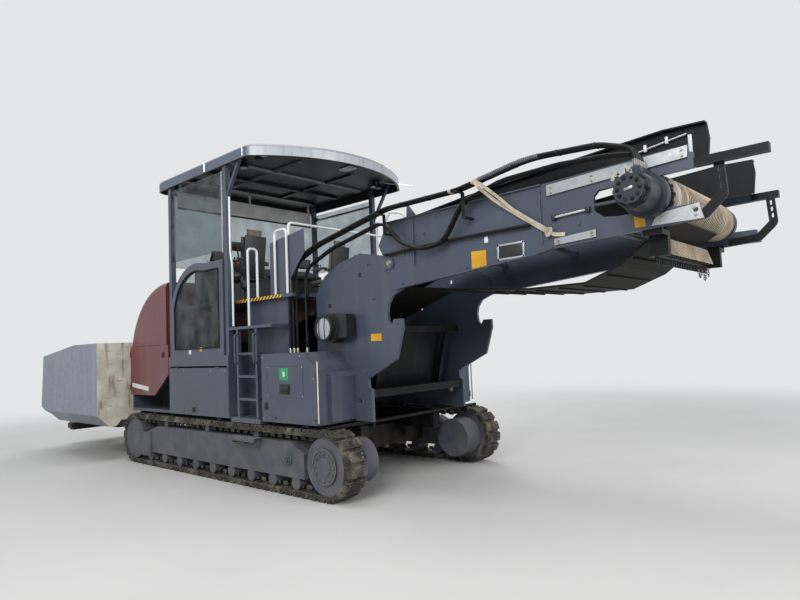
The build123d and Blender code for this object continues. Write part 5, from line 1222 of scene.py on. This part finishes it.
class FEEDER_OT_hose_ties(FeederPart, bpy.types.Operator):
    """Make the ties, bands and guard of the hose bundles, and the lashing strap knotted to them"""
    bl_idname = "feeder.hose_ties"
    bl_label = "Hose ties"

    def execute(self, _context):
        upper = (UPPER_HOSE_Y - HOSE_R, UPPER_HOSE_Y + 0.08 + HOSE_R)
        lower = (LOWER_HOSE_Y - HOSE_R, LOWER_HOSE_Y + 0.04 + HOSE_R)
        with shape("hose_ties", "Moulded_black_abs", slot="black_steel") as bm:
            for x in (-1.75, -2.1, -2.95, -3.3, -4.35, -4.8, -5.15):
                hose_band(bm, x, upper, 0.014, 0.003)
            for x in (-3.0, -3.45, -4.1, -4.6, -5.05):
                hose_band(bm, x, lower, 0.014, 0.003)
        with shape("lashing_strap", "Polyester_webbing") as bm:
            for x in (-3.62, -3.905, -3.945):
                hose_band(bm, x, upper, 0.035, 0.004)
            y = upper[1]
            z = top_of("hoses", -3.93, y - HOSE_R)
            ribbon(bm, ((-3.93, y + 0.006, z - 0.02), (-3.965, y - 0.01, z - 0.085), (-4.04, 1.06, 3.11),
                        (-4.12, 1.0, 3.035), (-4.376, 0.985, 2.846), (-4.556, 0.985, 2.722)), 0.035, 0.003)
            ribbon(bm, ((-3.925, y + 0.01, z - 0.015), (-3.99, y - 0.02, z - 0.06), (-4.1, 1.07, 3.12),
                        (-4.2, 1.006, 3.0), (-4.40, 0.992, 2.852), (-4.57, 0.992, 2.735)), 0.03, 0.003)
            for dx, dz, r in ((0, 0, 0.024), (-0.012, 0.006, 0.02), (0.01, -0.008, 0.022)):
                at = Vector((-4.565 + dx, 0.994, 2.722 + dz))
                sweep(bm, [at + Vector((math.cos(a) * r, math.sin(2 * a) * 0.006, math.sin(a) * r * 1.5))
                           for a in (k * math.tau / 18 for k in range(18))], 0.009, closed=True)
            ribbon(bm, ((-4.575, 0.99, 2.715), (-4.62, 0.986, 2.690), (-4.67, 0.983, 2.682),
                        (-4.723, 0.986, 2.677)), 0.035, 0.003)
        # the outer hose has a coil of pale plastic that keeps it off the plates
        with shape("hose_guard", "Moulded_grey_abs", slot="hose_rubber") as bm:
            x, y = -3.98, upper[1] - HOSE_R
            wire = ((0.001, 0), (0.0035, 0.002), (0.0035, 0.012), (0.001, 0.014))
            coil = [(HOSE_R + r, t) for r, t in wire]
            while x > -4.62:
                lathe(bm, (x, y, top_of("hoses", x, y) - HOSE_R), (1, 0, 0), coil, 14)
                x -= 0.02
        return {"FINISHED"}


class FEEDER_OT_station_fittings(FeederPart, bpy.types.Operator):
    """Make the controls, displays, roof lamps, blind and small bars of the operator's station"""
    bl_idname = "feeder.station_fittings"
    bl_label = "Station fittings"

    def execute(self, _context):
        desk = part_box("console")[1].z
        tilt = Matrix.Rotation(math.radians(-28), 4, "Y")
        lean = Matrix.Rotation(math.radians(-18), 4, "Y")
        floor = FLOOR_Z
        for bm, side in on_sides("controls", "Moulded_black_abs", slot="black_steel"):
            y = side * 1.2
            lathe(bm, (0.12, y, floor + 0.0005), UP,
                  ((0, 0), (0.06, 0), (0.06, 0.01), (0.024, 0.014), (0.024, 0.42), (0, 0.42)), 20)
            slab(bm, 0.0, 0.25, y, 0.085, floor + 0.40, floor + 0.50, 0.014, lean)
            slab(bm, 0.03, 0.1, y, 0.05, floor + 0.17, floor + 0.28, 0.01)
            for dx, dy, tall in ((0.05, 0.03, 0.15), (0.05, -0.045, 0.1), (0.19, 0.0, 0.26)):
                lathe(bm, (dx, y + dy, floor + 0.49 + (dx - 0.12) * 0.3), (0.12, 0, 1),
                      ((0.02, 0), (0.014, 0.02), (0.007, 0.03), (0.007, tall - 0.05), (0.019, tall - 0.04),
                       (0.021, tall - 0.01), (0.012, tall), (0, tall)), 16)
            slab(bm, 0.225, 0.25, y, 0.1, floor + 0.72, floor + 0.85, 0.008, lean)
            sweep(bm, ((0.17, y, floor + 0.5), (0.2, y, floor + 0.66), (0.24, y, floor + 0.78)), 0.011)
            # the desk's display and its levers
            y = side * SEAT_Y
            slab(bm, 1.27, 1.30, y, 0.14, desk + 0.012, desk + 0.19, 0.01, tilt)
            for k in range(3):
                lathe(bm, (1.22, y - 0.24 - 0.05 * k, desk + PROUD), (-0.1, 0, 1),
                      ((0.018, 0), (0.012, 0.016), (0.006, 0.02), (0.006, 0.075), (0.015, 0.085),
                       (0.012, 0.105), (0, 0.108)), 14)
        for bm, side in on_sides("display_glass", "Moulded_grey_abs", slot="pane"):
            slab(bm, 1.2665, 1.269, side * SEAT_Y, 0.115, desk + 0.035, desk + 0.17, 0.001, tilt)
        for bm, side in on_sides("stop_knobs", "Pressed_red_abs"):
            lathe(bm, (0.13, side * 1.255, floor + 0.512), UP,
                  ((0, 0), (0.0114, 0), (0.0114, 0.012), (0.019, 0.016), (0.019, 0.026), (0, 0.03)), 18)
            for y in (0.2, 0.25):
                lathe(bm, (1.2, side * SEAT_Y + y, desk + PROUD), UP,
                      ((0, 0), (0.012, 0), (0.012, 0.012), (0, 0.014)), 14)
        for bm, side in on_sides("desk_buttons", "Vinyl_film_white"):
            for k in range(8):
                lathe(bm, (1.26 + 0.05 * (k // 4), side * (0.26 + 0.07 * (k % 4)), desk + PROUD), UP,
                      ((0, 0), (0.013, 0), (0.013, 0.009), (0, 0.011)), 14)
        for bm, side in on_sides("side_seams", "Anodised_aluminium", slot="zinc"):
            for x in (0.545, -0.42):
                sweep(bm, ((x, side * ROOF_Y, 4.35), (x, side * ROOF_Y, 4.475)), 0.005, sides=6)
            # the strip that holds the side glass's rear edge
            face_block(bm, side, 1.4826, 0.122, 0.150, 3.12, 4.27, 0.0094, 0.003)
        for bm, side in on_sides("post_tube", "Sprayed_enamel_white", slot="pale_paint"):
            sweep(bm, [(x, side * 1.462, z) for x, z in POST_TUBE], 0.014, sides=14)

        with shape("front_blind", "Vinyl_film_white") as bm:
            sweep(bm, ((1.645, -1.36, 4.29), (1.645, 1.36, 4.29)), 0.02, sides=16)
            for y in (-1.3, 0.0, 1.3):
                slab(bm, 1.63, 1.66, y, 0.012, 4.29, CEILING - PROUD, 0.003)
            slab(bm, 1.641, 1.643, 0, 1.34, 4.06, 4.29, 0)
        with shape("blind_bar", "Moulded_black_abs", slot="black_steel") as bm:
            slab(bm, 1.636, 1.65, 0, 1.345, 4.03, 4.06, 0.003)
        spots = ((-0.50, 1.22), (0.16, 1.10), (-0.28, -1.14))
        with shape("ceiling_lamps", "Moulded_black_abs", slot="lamp_plastic") as bm:
            housing = ((0, 0), (0.03, 0), (0.03, 0.03), (0.066, 0.04), (0.07, 0.07), (0.062, 0.074),
                       (0, 0.074))
            for x, y in spots:
                lathe(bm, (x, y, CEILING - PROUD), DOWN, housing, 28)
        with shape("ceiling_lenses", "Clear_polycarbonate_lens", slot="pane") as bm:
            for x, y in spots:
                lathe(bm, (x, y, CEILING - 0.0746), DOWN, ((0, 0), (0.06, 0), (0.045, 0.012), (0, 0.018)), 28)
            block(bm, -0.76, -0.50, -0.30, -0.16, CEILING - 0.035, CEILING - PROUD, 0.012)
        with shape("station_bars", "Anodised_aluminium", slot="zinc") as bm:
            sweep(bm, ((-0.66, -0.96, CEILING), (-0.67, -0.97, 4.36), (-0.72, -1.06, 4.345),
                       (-0.86, -1.43, 4.35)), 0.009)
            block(bm, 0.14, 1.57, -1.462, -1.442, 4.16, 4.20, 0.003)
        return {"FINISHED"}


class FEEDER_OT_body_trim(FeederPart, bpy.types.Operator):
    """Make the pale seals and bare label places of the side bodies"""
    bl_idname = "feeder.body_trim"
    bl_label = "Body trim"

    def execute(self, _context):
        for bm, side in on_sides("box_seal", "Vinyl_film_white", slot="pale_paint"):
            face_block(bm, side, SIDE_Y + PROUD, -1.825, -1.805, 0.88, 1.59, 0.0036, 0.001)
        for bm, side in on_sides("hood_label_place", "Vinyl_film_white", "hood_door_"):
            plate(bm, ((2.96, 1.305), (2.38, 1.245), (2.38, 1.175), (2.96, 1.235)), SIDE_Y + PROUD, 0.0012,
                  side)
        return {"FINISHED"}


OPERATORS = (FEEDER_OT_finishes, FEEDER_OT_stage, FEEDER_OT_seats, FEEDER_OT_side_fittings,
             FEEDER_OT_fasteners, FEEDER_OT_track_details, FEEDER_OT_lamps, FEEDER_OT_hazard_strips,
             FEEDER_OT_hose_fittings, FEEDER_OT_window_trim, FEEDER_OT_belt_details,
             FEEDER_OT_discharge_details, FEEDER_OT_conveyor_fittings, FEEDER_OT_hose_ties,
             FEEDER_OT_station_fittings, FEEDER_OT_body_trim)


class FEEDER_PT_panel(bpy.types.Panel):
    """The feeder's settings and its pieces"""
    bl_idname = "FEEDER_PT_panel"
    bl_label = "Material transfer vehicle"
    bl_space_type = "VIEW_3D"
    bl_region_type = "UI"
    bl_category = "Feeder"

    def draw(self, context):
        for group in (context.scene.feeder_paints, context.scene.feeder_sizes):
            column = self.layout.column()
            for name in group.__annotations__:
                column.prop(group, name)
        for made in OPERATORS:
            self.layout.operator(made.bl_idname)


CLASSES = (FEEDER_PG_paints, FEEDER_PG_sizes, *OPERATORS, FEEDER_PT_panel)


def register():
    """Registers the classes and hangs the settings on the scene."""
    for made in CLASSES:
        bpy.utils.register_class(made)
    bpy.types.Scene.feeder_paints = bpy.props.PointerProperty(type=FEEDER_PG_paints)
    bpy.types.Scene.feeder_sizes = bpy.props.PointerProperty(type=FEEDER_PG_sizes)


def unregister():
    """Takes back what register does."""
    del bpy.types.Scene.feeder_paints
    del bpy.types.Scene.feeder_sizes
    for made in reversed(CLASSES):
        bpy.utils.unregister_class(made)


def main():
    """Makes everything."""
    register()
    for made in OPERATORS:
        group, name = made.bl_idname.split(".")
        getattr(getattr(bpy.ops, group), name)()


if __name__ == "__main__":
    main()
